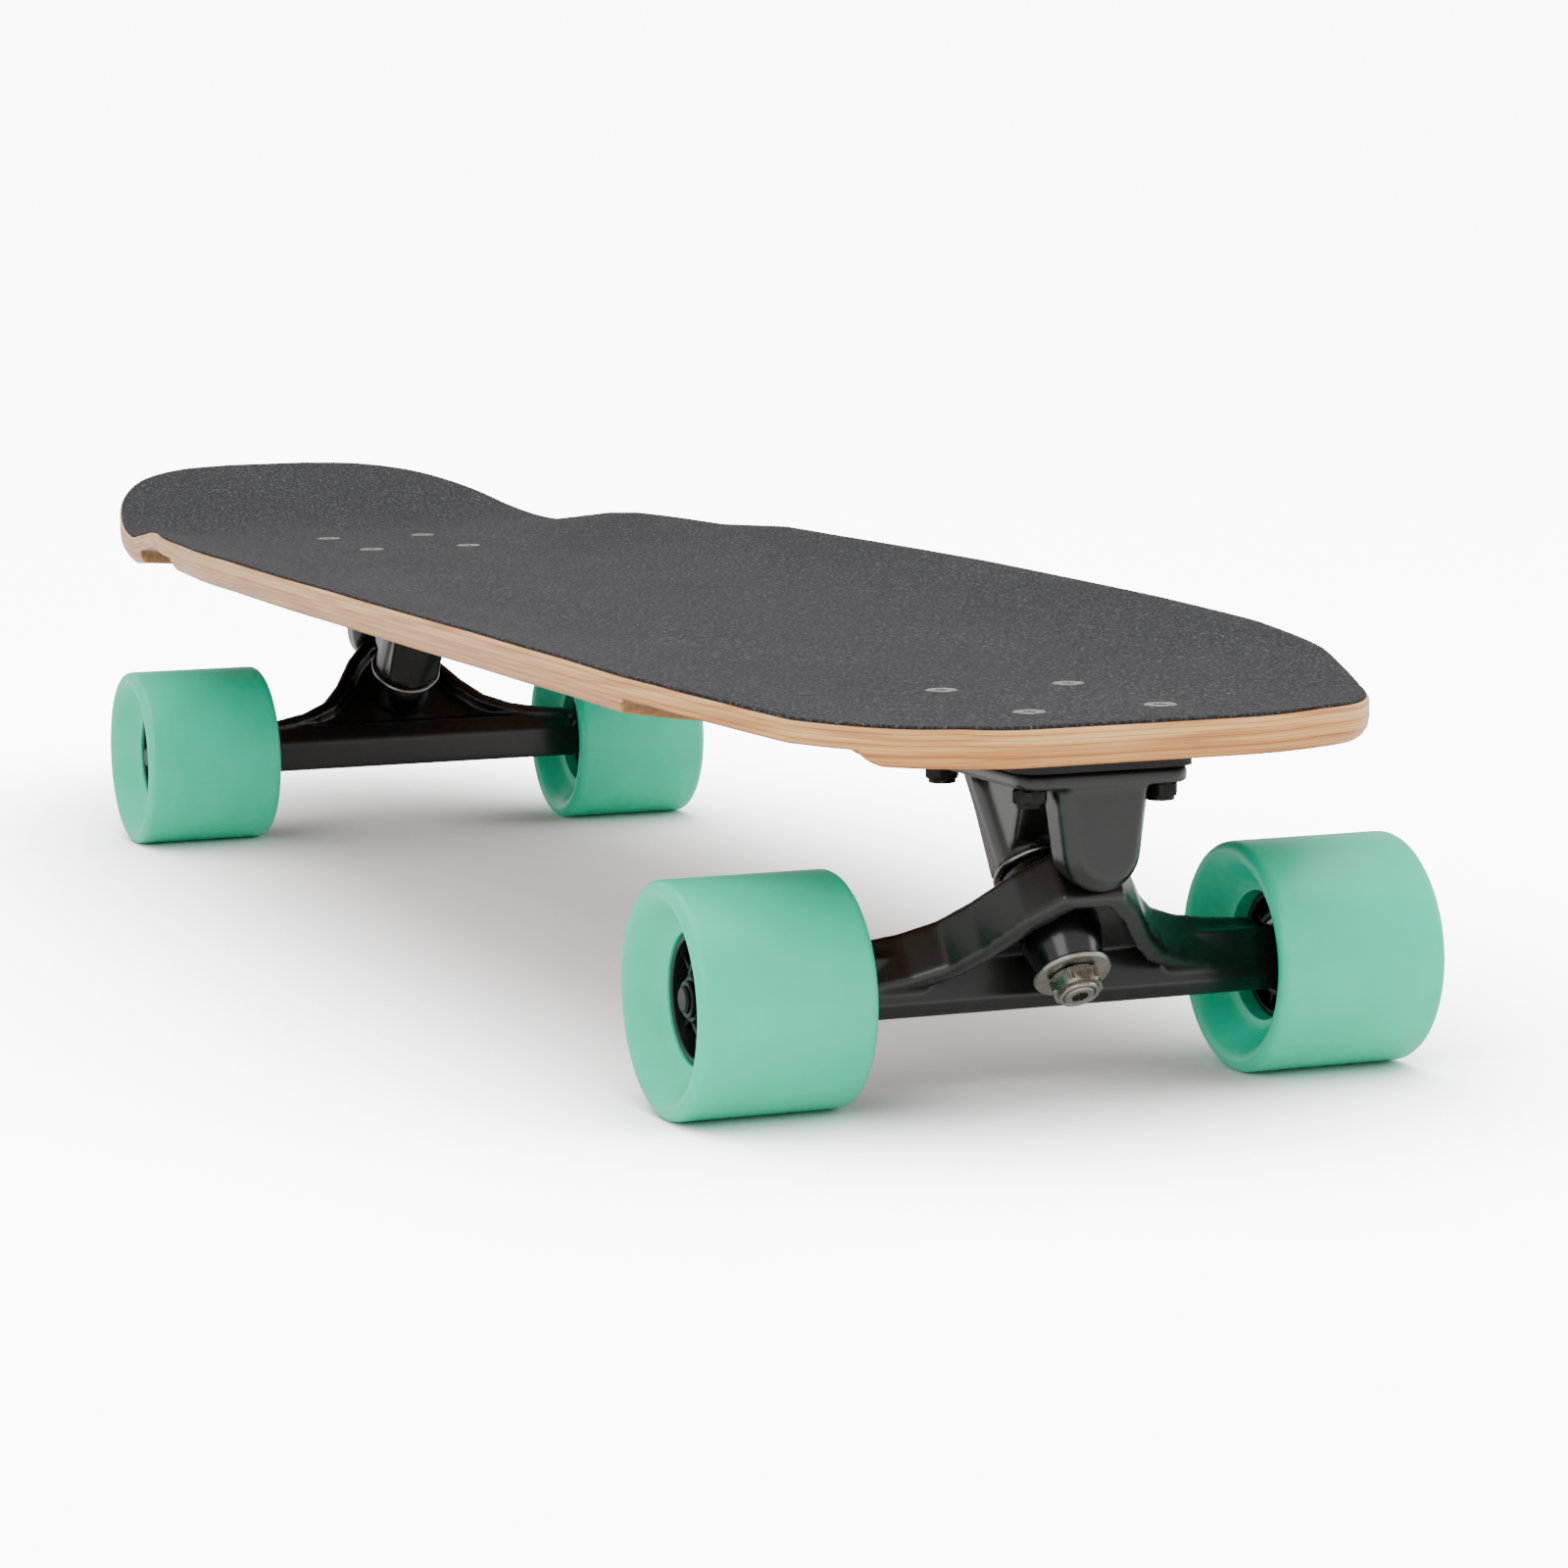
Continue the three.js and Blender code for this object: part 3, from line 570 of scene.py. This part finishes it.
@dataclass
class Deck:
    """The pressed deck and its grip tape, both carried round the same outline."""

    top_z: float = 117.0
    thickness: float = 11.0
    flat: float = 30.0
    outline: tuple[tuple[float, float], ...] = (
        (392, 56), (387, 69), (376, 79), (358, 88), (320, 101), (285, 111), (235, 117.5),
        (150, 121.5), (50, 123.5), (-50, 124), (-145, 122), (-190, 121), (-240, 113.5),
        (-290, 109.5), (-345, 101), (-400, 95.5), (-450, 88), (-487, 77), (-512, 62),
        (-526, 42), (-531, 18),
    )
    rail: tuple[tuple[float, float], ...] = (
        (-531, 0), (-450, 0), (-400, 1.5), (-345, 7.8), (-320, 9.3), (-240, 9.3), (-190, 11.4),
        (0, 11.6), (150, 10.6), (230, 9.3), (290, 6.5), (320, 4), (350, 1.5), (392, 1.5),
    )
    kick_x: float = -392.0
    kick_radius: float = 295.0
    kick_slope: float = 0.2
    well_half: float = 54.0
    well_out: float = 6.2
    well_inner: float = 60.0
    well_slope: float = 4.0
    well_left: float = 6.6
    steps: int = 24

    def half_outline(self) -> np.ndarray:
        """The outline's left half as a centripetal Catmull-Rom curve through its points."""
        p = np.asarray(self.outline, float)
        p = np.vstack((2 * p[0] - p[1], p, 2 * p[-1] - p[-2]))
        gaps = np.linalg.norm(np.diff(p, axis=0), axis=1) ** 0.5
        t = np.linspace(0, 1, self.steps, endpoint=False)[None, :, None]
        g0, g1, g2 = (gaps[i : len(gaps) - 2 + i, None] for i in range(3))
        a, b, c, d = (p[i : len(p) - 3 + i] for i in range(4))
        out = (b - a) / g0 - (c - a) / (g0 + g1) + (c - b) / g1
        into = (c - b) / g1 - (d - b) / (g1 + g2) + (d - c) / g2
        m0, m1 = (out * g1)[:, None], (into * g1)[:, None]
        b, c = b[:, None], c[:, None]
        curve = (
            (2 * t**3 - 3 * t**2 + 1) * b
            + (t**3 - 2 * t**2 + t) * m0
            + (-2 * t**3 + 3 * t**2) * c
            + (t**3 - t**2) * m1
        ).reshape(-1, 2)
        curve[:, 1] = np.minimum(curve[:, 1], max(width for _, width in self.outline))
        return np.vstack((curve, p[-2]))

    def loop(self) -> np.ndarray:
        """The whole outline, evenly spaced, with the straight edges at nose and tail."""
        half = self.half_outline()
        whole = np.vstack((half, half[::-1] * (1, -1)))
        whole = np.vstack((whole, whole[:1]))
        run = np.concatenate(([0], np.cumsum(np.linalg.norm(np.diff(whole, axis=0), axis=1))))
        keep = np.concatenate(([True], np.diff(run) > 1e-6))
        even = np.linspace(0, run[-1], 961)[:-1]
        return np.stack([np.interp(even, run[keep], whole[keep, k]) for k in (0, 1)], axis=-1)

    def half_width(self, x: np.ndarray) -> np.ndarray:
        """Half the deck's width at x."""
        half = self.half_outline()[::-1]
        return np.interp(x, half[:, 0], half[:, 1])

    def top(self, x: np.ndarray, y: np.ndarray) -> np.ndarray:
        """Height of the deck's top face.

        The middle line is flat, then an arc of kick_radius and a ramp of kick_slope. The rail
        adds its rise times the square of the share of the way from the flat strip to the edge.
        """
        run = np.maximum(0, self.kick_x - x)
        bent = np.minimum(run, self.kick_radius * self.kick_slope)
        kick = bent**2 / (2 * self.kick_radius) + self.kick_slope * (run - bent)
        rail = np.asarray(self.rail, float)
        rise = np.interp(x, rail[:, 0], rail[:, 1])
        width = np.maximum(self.half_width(x), self.flat + 1)
        reach = np.maximum(0, np.abs(y) - self.flat) / (width - self.flat)
        return self.top_z + kick + rise * np.minimum(reach, 1.1) ** 2

    def well(self, x: np.ndarray, y: np.ndarray) -> np.ndarray:
        """Share of the wheel wells' depth cut into the underside, with sloping walls."""
        depth = np.zeros_like(x)
        for middle in (-LAYOUT.axle_x - self.well_out, LAYOUT.axle_x + self.well_out):
            along = self.well_half - np.abs(x - middle)
            across = np.abs(y) - self.well_inner + self.well_slope
            corner = 20.0
            inside = np.minimum(along, across)
            both = (along < corner) & (across < corner)
            bend = corner - np.hypot(corner - along, corner - across)
            inside = np.where(both, bend, inside)
            depth = np.maximum(depth, np.clip(inside / self.well_slope, 0, 1))
        return depth

    def sheet(self, lift: float, profile: Sequence[tuple[float, float, float]]) -> Shell:
        """Carries a profile round the outline.

        Each outline point has a root on the middle line. A profile point (share, depth, inset)
        lies that share of the way from the root to the outline, less the inset, at the top
        face's height less the depth. The wells take their depth off the lower face.

        Args:
            lift: Height above the deck's top face.
            profile: Points from the middle of the top, round the edge, to the middle below.

        Returns:
            The surface, with each point's depth as its value, 0 above and 1 below, and up to 2
            in the wells.
        """
        loop = self.loop()
        root = np.stack((np.clip(loop[:, 0], -470, 330), np.zeros(len(loop))), axis=-1)
        ray = loop - root
        length = np.linalg.norm(ray, axis=1, keepdims=True)
        share, depth, inset = (np.asarray(column, float)[:, None] for column in zip(*profile))
        reach = share * np.maximum(length[:, 0] - inset, 0.0)
        where = root + reach[..., None] * (ray / length)
        x, y = where[..., 0], where[..., 1]
        deep = np.broadcast_to(depth, x.shape).copy()
        cut = self.well(x, y)
        floor = self.thickness - cut * (self.thickness - self.well_left)
        deep = np.minimum(deep, floor) if self.thickness in depth else deep
        z = self.top(x, y) + lift - deep
        points = np.stack((x + SHIFT_X, y, z), axis=-1)
        return Shell(
            points, values=np.where((cut > 0) & (deep >= floor), 1 + cut, deep / self.thickness)
        )

    def build(self, finishes: Finishes) -> None:
        """Makes the deck and the grip tape."""
        shares = np.linspace(0, 1, 45)
        top = [(s, 0.0, 0.9) for s in shares]
        edge = [
            (1, 0.25, 0.3),
            (1, 0.8, 0.05),
            (1, 2, 0),
            (1, 4, 0),
            (1, 6.0, 0),
            (1, 7.6, 0.15),
            (1, 8.6, 0.5),
            (1, 9.5, 1.0),
            (1, 10.3, 1.7),
        ]
        below = [(s, self.thickness, 2.8) for s in shares[::-1]]
        piece(
            "deck_laminate",
            [self.sheet(0.0, top + edge + below)],
            Matrix.Scale(MM, 4),
            finishes.maple,
            "board",
            ["deck"],
            30,
        )
        grip = [(s, 0.0, 1.3) for s in shares] + [(1, 0.15, 1.0), (1, 0.8, 0.9)] + [
            (s, 0.8, 0.9) for s in shares[-2::-1]
        ]
        piece(
            "grip_sheet",
            [self.sheet(1.0, grip)],
            Matrix.Scale(MM, 4),
            finishes.grip,
            "board",
            ["grip_tape"],
            40,
        )


# ------------------------------------------------------------------ wheels


@dataclass
class Wheel:
    """A cast wheel on its core, with two bearings and the nut that holds it."""

    ribs: int = 10

    def tyre(self) -> Shell:
        """The tyre's profile: a square lip eased at 3 mm and a dish that falls to the core."""
        side = [
            (19.7, 17.7),
            (21.2, 17.9),
            (23.4, 19.3),
            (26.6, 23.4),
            (29.2, 26.3),
            (30.6, 27.1),
            (32.0, 27.5),
            (33.2, 27.2),
            (34.3, 26.4),
            (34.85, 25.4),
            (35.0, 24.2),
        ]
        low = [(r, -z) for r, z in side]
        return turned(low + side[::-1], 160)

    def core_shells(self) -> list[Shell]:
        """The core: a rim ring, a hub ring, a web between them and radial ribs."""
        rim = turned(eased([(17.4, -13.4), (19.5, -13.4), (19.5, 17.2), (17.4, 17.2)], 0.6), 96)
        hub = turned(eased([(11.1, -12.6), (13.0, -12.6), (13.0, 14.4), (11.1, 14.4)], 0.5), 96)
        web = turned([(12.4, -5.5), (17.8, -5.5), (17.8, 5.5), (12.4, 5.5)], 96)
        shells = [rim, hub, web]
        for rib in range(self.ribs):
            bar = boxed((5.6, 1.6, 26.0), (15.1, 0, 1.6))
            turn = 2 * pi * rib / self.ribs
            spun = np.array(Matrix.Rotation(turn, 3, "Z"))
            shells.append(Shell(bar.points @ spun.T))
        return shells

    def build(self, end: End, side: Side, finishes: Finishes) -> None:
        """Makes one wheel and its nut."""
        name = f"{end.word}_{side.word}"
        place = wheel_place(end, side)
        body = f"{name}_wheel"
        piece(
            f"{name}_wheel_urethane",
            [self.tyre()],
            place,
            finishes.mint,
            body,
            [f"{name}_tyre"],
            40,
        )
        piece(
            f"{name}_wheel_core",
            self.core_shells(),
            place,
            finishes.nylon,
            body,
            [f"{name}_core"],
            35,
        )
        for word, z in (("inner", -1), ("outer", 1)):
            at = place @ Matrix.Translation((0, 0, z * 8.5))
            outer = turned(eased([(9.2, -3.5), (11.0, -3.5), (11.0, 3.5), (9.2, 3.5)], 0.4), 72)
            inner = turned(eased([(4.1, -3.5), (6.0, -3.5), (6.0, 3.5), (4.1, 3.5)], 0.3), 72)
            shield = turned(eased([(5.9, -2.9), (9.3, -3.0), (9.3, 3.0), (5.9, 2.9)], 0.3), 72)
            piece(
                f"{name}_{word}_bearing_races",
                [outer, inner],
                at,
                finishes.steel,
                body,
                [f"{name}_{word}_bearing"],
                35,
            )
            piece(f"{name}_{word}_bearing_shield", [shield], at, finishes.shield, body)
        hanger = f"{end.word}_hanger_body"
        washers = [
            turned(
                [(4.1, z), (5.6, z), (5.6, z + 0.8), (4.1, z + 0.8)], 48
            ) for z in (12.05, -12.85)
        ]
        piece(f"{name}_speed_washers", washers, place, finishes.steel, hanger)
        nut = hexagonal(
            12.7, [(3.95, 12.9), (6.3, 12.9), (7.4, 13.6), (7.4, 17.2), (6.5, 17.9), (3.95, 17.9)]
        )
        ring = turned(eased([(3.95, 17.6), (5.5, 17.6), (5.5, 19.3), (3.95, 19.3)], 0.5), 48)
        piece(
            f"{name}_axle_lock_nut",
            [nut, ring],
            place,
            finishes.oxide,
            hanger,
            [f"{name}_axle_nut"],
            30,
        )


# ------------------------------------------------------------------ trucks


def cast_copy(node: str, voxel_mm: float, passes: int) -> bpy.types.Mesh:
    """A casting's shape from its CAD node, with its corners rounded as sand and coating leave them.

    The node's triangles are merged, remade as voxels and relaxed, and each relaxed point is the
    mean of its neighbours.

    Args:
        node: The CAD node.
        voxel_mm: Voxel size.
        passes: How often the surface is relaxed.

    Returns:
        The new mesh.
    """
    source = bpy.data.objects.new("casting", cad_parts[node].data.copy())
    bpy.context.scene.collection.objects.link(source)
    weld = bmesh.new()
    weld.from_mesh(source.data)
    bmesh.ops.remove_doubles(weld, verts=weld.verts, dist=1e-6)
    weld.to_mesh(source.data)
    weld.free()
    voxels = source.modifiers.new("voxels", "REMESH")
    voxels.mode, voxels.voxel_size = "VOXEL", voxel_mm * MM
    relax = source.modifiers.new("relax", "SMOOTH")
    relax.factor, relax.iterations = 0.5, passes
    graph = bpy.context.evaluated_depsgraph_get()
    made = bpy.data.meshes.new_from_object(source.evaluated_get(graph))
    bpy.data.objects.remove(source)
    return made


@dataclass
class Truck:
    """A reverse-kingpin truck: castings, kingpin stack, axle and mounting hardware."""

    bushing: float = 13.9
    road_face: float = 1.2
    board_face: float = 6.8

    def casting(self, name: str, node: str, body: str, look: bpy.types.Material, slot: str) -> None:
        """Makes one casting from its CAD node."""
        mesh = cast_copy(node, 0.8, 8)
        mesh.name = name
        mesh.materials.clear()
        mesh.materials.append(look)
        mesh.shade_smooth()
        made = bpy.data.objects.new(name, mesh)
        bpy.context.scene.collection.objects.link(made)
        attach(made, body)
        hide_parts(node)
        log.info("%s: %d faces", name, len(mesh.polygons))

    def build_stack(self, end: End, finishes: Finishes) -> None:
        """Makes the bushings, washers, kingpin and its nut, all turned about the kingpin."""
        word = end.word
        place = truck_place(end) @ kingpin_place()
        road, board = self.road_face, self.board_face
        low, high = road - self.bushing, board + self.bushing
        cone = eased(
            [(5.1, low), (9.6, low), (12.3, road - 3.2), (12.3, road), (5.1, road)],
            0.7,
        )
        barrel = eased(
            [
                (5.1, board),
                (12.5, board),
                (12.7, board + 7),
                (12.5, high),
                (5.1, high),
            ],
            0.9,
        )
        lower = piece(
            f"{word}_cone_bushing",
            [turned(cone, 96)],
            place,
            finishes.bushing,
            "",
            [f"{word}_road_bushing"],
            35,
        )
        upper = piece(
            f"{word}_barrel_bushing",
            [turned(barrel, 96)],
            place,
            finishes.bushing,
            "",
            [f"{word}_board_bushing"],
            35,
        )
        for made, fixed, turning in ((lower, low, road), (upper, high, board)):
            ends = (place @ Vector((0, 0, height)) for height in (fixed, turning))
            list(ends)
            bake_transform(made)
        top = board + 14.2
        dished = eased(
            [(5.1, top), (14.0, top), (14.4, top + 0.8), (14.0, top + 1.6), (5.1, top + 1.6)], 0.3
        )
        cup = eased(
            [
                (5.1, road - 15.8),
                (11.3, road - 15.8),
                (11.9, road - 15.0),
                (11.8, road - 14.2),
                (5.1, road - 14.2),
            ],
            0.3,
        )
        piece(
            f"{word}_board_cup_washer",
            [turned(dished, 96)],
            place,
            finishes.zinc,
            "board",
            [f"{word}_board_washer"],
            35,
        )
        piece(
            f"{word}_road_cup_washer",
            [turned(cup, 96)],
            place,
            finishes.zinc,
            "board",
            [f"{word}_road_washer"],
            35,
        )
        base = road - 16.1
        nut = hexagonal(
            14.3,
            [
                (4.75, base),
                (7.2, base),
                (8.2, base - 0.6),
                (8.2, base - 4.4),
                (7.3, base - 5.1),
                (4.75, base - 5.1),
            ],
        )
        collar = turned(
            eased(
                [(4.75, base - 4.8), (6.3, base - 4.8), (6.3, base - 6.6), (4.75, base - 6.6)], 0.7
            ),
            64,
        )
        piece(
            f"{word}_kingpin_lock_nut",
            [nut, collar],
            place,
            finishes.zinc,
            "board",
            [f"{word}_kingpin_nut"],
            30,
        )
        tip = base - 6.9
        socket = hexagonal(4.8, [(0, tip + 2.6), (2.9, tip + 2.6), (2.9, tip + 0.1)], 72)
        outer = turned([(2.9, tip), (4.1, tip), (4.6, tip + 0.5), (4.6, 60), (0, 60)], 72)
        outer.points[0] = socket.points[-1]
        pin = Shell(np.concatenate((socket.points, outer.points[1:])))
        piece(
            f"{word}_kingpin_rod",
            [pin],
            place,
            finishes.zinc,
            "board",
            [f"{word}_kingpin"],
            30,
        )

    def build_bolts(self, end: End, finishes: Finishes) -> None:
        """Makes the four bolts and four lock nuts that hold the truck to the deck."""
        for out_word, out in (("outer", 1), ("inner", -1)):
            for side in Side:
                x = end.value * (LAYOUT.axle_x + LAYOUT.bolt_out + out * LAYOUT.bolt_dx) + SHIFT_X
                y = side.value * LAYOUT.bolt_dy
                name = f"{end.word}_{out_word}_{side.word}"
                place = Matrix.Scale(MM, 4) @ Matrix.Translation((x, y, 0))
                head = [
                    (0, 117.0),
                    (1.2, 117.0),
                    (2.0, 118.1),
                    (2.3, 118.2),
                    (4.4, 118.2),
                    (4.8, 118.0),
                    (4.8, 117.5),
                    (2.4, 115.0),
                    (2.4, 90.9),
                    (2.0, 90.5),
                    (0, 90.5),
                ]
                bolt = turned(head, 64)
                angle = np.linspace(0, 2 * pi, 64, endpoint=False)
                cross = 1.0 + 0.45 * np.abs(np.cos(2 * angle)) ** 3
                bolt.points[1:4, :, :2] *= cross[None, :, None]
                piece(
                    f"{name}_flat_head_bolt",
                    [bolt],
                    place,
                    finishes.zinc,
                    "board",
                    [f"{name}_mount_bolt"],
                    35,
                )
                # A dark oxide disc fills the bottom of the bolt's driver recess: painted shade, since
                # the zinc recess is only darker by shade.
                recess_shade_disc = turned([(0, 116.7), (3.5, 116.7), (3.5, 117.6), (0, 117.6)], 32)
                piece(f"{name}_driver_recess", [recess_shade_disc], place, finishes.oxide, "board")
                nut = hexagonal(
                    9.5,
                    [(2.5, 95.9), (4.7, 95.9), (5.4, 95.4), (5.4, 92.4), (4.7, 91.8), (2.5, 91.8)],
                )
                ring = turned(eased([(2.5, 92.0), (4.1, 92.0), (4.1, 90.4), (2.5, 90.4)], 0.5), 48)
                piece(
                    f"{name}_hex_lock_nut",
                    [nut, ring],
                    place,
                    finishes.oxide,
                    "board",
                    [f"{name}_lock_nut"],
                    30,
                )

    def build(self, end: End, finishes: Finishes) -> None:
        """Makes one truck."""
        word = end.word
        self.casting(
            f"{word}_hanger_casting",
            f"{word}_hanger",
            f"{word}_hanger_body",
            finishes.coat,
            "black_cast",
        )
        self.casting(
            f"{word}_baseplate_casting", f"{word}_baseplate", "board", finishes.coat, "black_cast"
        )
        self.build_stack(end, finishes)
        self.build_bolts(end, finishes)
        axle = turned(
            [(0, -112), (3.3, -112), (3.9, -111.3), (3.9, 111.3), (3.3, 112), (0, 112)], 48
        )
        place = truck_place(end) @ Matrix.Rotation(pi / 2, 4, "X")
        piece(
            f"{word}_axle_rod",
            [axle],
            place,
            finishes.oxide,
            f"{word}_hanger_body",
            [f"{word}_axle"],
            35,
        )
        for node, look in (
            (f"{word}_riser_pad", finishes.rubber), (f"{word}_pivot_cup", finishes.nylon)
        ):
            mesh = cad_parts[node].data
            mesh.materials.clear()
            mesh.materials.append(look)


# ------------------------------------------------------------------ studio


@dataclass
class Studio:
    """Camera, floor and soft lights."""

    spot: tuple[float, float, float] = (1.68804, -0.58615, 0.27628)
    yaw: float = radians(21.27)
    pitch: float = radians(7.363)
    roll: float = radians(-0.666)
    lens: float = 111.91

    def camera(self) -> None:
        """Places the camera: it looks back along the board from beyond the nose."""
        ahead = Vector(
            (-cos(self.yaw) * cos(self.pitch), sin(self.yaw) * cos(self.pitch), -sin(self.pitch))
        )
        right = ahead.cross(Vector((0, 0, 1))).normalized()
        up = right.cross(ahead)
        across = cos(self.roll) * right + sin(self.roll) * up
        upward = -sin(self.roll) * right + cos(self.roll) * up
        data = bpy.data.cameras.new("camera")
        data.lens, data.sensor_width, data.clip_start = self.lens, 36.0, 0.01
        made = bpy.data.objects.new("camera", data)
        made.matrix_world = Matrix.Translation(self.spot) @ Matrix(
            (across, upward, -ahead)
        ).transposed().to_4x4()
        bpy.context.scene.collection.objects.link(made)
        bpy.context.scene.camera = made

    def floor(self) -> None:
        """Makes a pale floor, slightly uneven in tone, that glows for the camera, with painted shadow
        where ambient occlusion finds the board above it.
        """
        made = Nodes("paper_sweep_white")
        tone = made.ramp(made.noise(400.0), ((0.3, "#F4F4F4"), (0.7, "#F8F8F8")))
        # The floor glows for the camera, and the glow is dimmed by ambient occlusion under the board:
        # painted shadow.
        seen = made.add("ShaderNodeLightPath").outputs["Is Camera Ray"]
        open_sky = made.add(
            "ShaderNodeAmbientOcclusion", {"samples": 16}, Distance=0.6
        ).outputs["AO"]
        clear = made.add("ShaderNodeMapRange", Value=open_sky, From_Max=0.93).outputs["Result"]
        soft = made.add("ShaderNodeMath", {"operation": "POWER"}, i0=clear, i1=3.2).outputs[0]
        light = made.add("ShaderNodeMath", {"operation": "MULTIPLY"}, i0=soft, i1=9.5).outputs[0]
        camera_glow_with_painted_shadow = made.add("ShaderNodeMath", {"operation": "MULTIPLY"}, i0=seen, i1=light).outputs[0]
        made.set(
            Base_Color=tone,
            Roughness=0.9,
            Specular_IOR_Level=0.1,
            Emission_Color=(1, 1, 1, 1),
            Emission_Strength=camera_glow_with_painted_shadow,
        )
        mesh = bpy.data.meshes.new("floor")
        r = 12.0
        mesh.from_pydata([(-r, -r, 0), (r, -r, 0), (r, r, 0), (-r, r, 0)], [], [(0, 1, 2, 3)])
        mesh.materials.append(made.material)
        plane = bpy.data.objects.new("floor", mesh)
        bpy.context.scene.collection.objects.link(plane)

    def lamp(
        self,
        name: str,
        spot: tuple[float, float, float],
        aim: tuple[float, float, float],
        size: float,
        power: float,
    ) -> None:
        """Adds one square soft lamp that looks at a point."""
        data = bpy.data.lights.new(name, "AREA")
        data.shape, data.size, data.energy = "SQUARE", size, power
        made = bpy.data.objects.new(name, data)
        made.location = spot
        made.rotation_euler = (Vector(aim) - Vector(spot)).to_track_quat("-Z", "Y").to_euler()
        bpy.context.scene.collection.objects.link(made)

    def build(self) -> None:
        """Sets the camera, floor, lamps and world."""
        self.camera()
        self.floor()
        self.lamp("top_softbox", (0.2, 0.0, 2.2), (0, 0, 0), 2.4, 42)
        self.lamp("front_softbox", (2.2, -1.6, 1.3), (0.2, 0, 0.08), 1.4, 16)
        self.lamp("side_softbox", (0.6, 2.2, 1.2), (0, 0, 0.08), 1.4, 14)
        world = bpy.data.worlds.new("studio")
        world.use_nodes = True
        world.node_tree.nodes["Background"].inputs["Color"].default_value = (1, 1, 1, 1)
        tree = world.node_tree
        seen = tree.nodes.new("ShaderNodeLightPath").outputs["Is Camera Ray"]
        level = tree.nodes.new("ShaderNodeMapRange")
        level.inputs["To Min"].default_value, level.inputs["To Max"].default_value = 0.95, 10.0
        tree.links.new(seen, level.inputs["Value"])
        tree.links.new(level.outputs["Result"], tree.nodes["Background"].inputs["Strength"])
        bpy.context.scene.world = world


def main() -> None:
    """Builds the studio, the deck, both trucks and the four wheels."""
    logging.basicConfig(level=logging.INFO, format="%(name)s: %(message)s")
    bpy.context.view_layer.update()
    Studio().build()
    finishes = Finishes()
    Deck().build(finishes)
    truck, wheel = Truck(), Wheel()
    for end in End:
        truck.build(end, finishes)
        for side in Side:
            wheel.build(end, side, finishes)


if __name__ == "__main__":
    main()
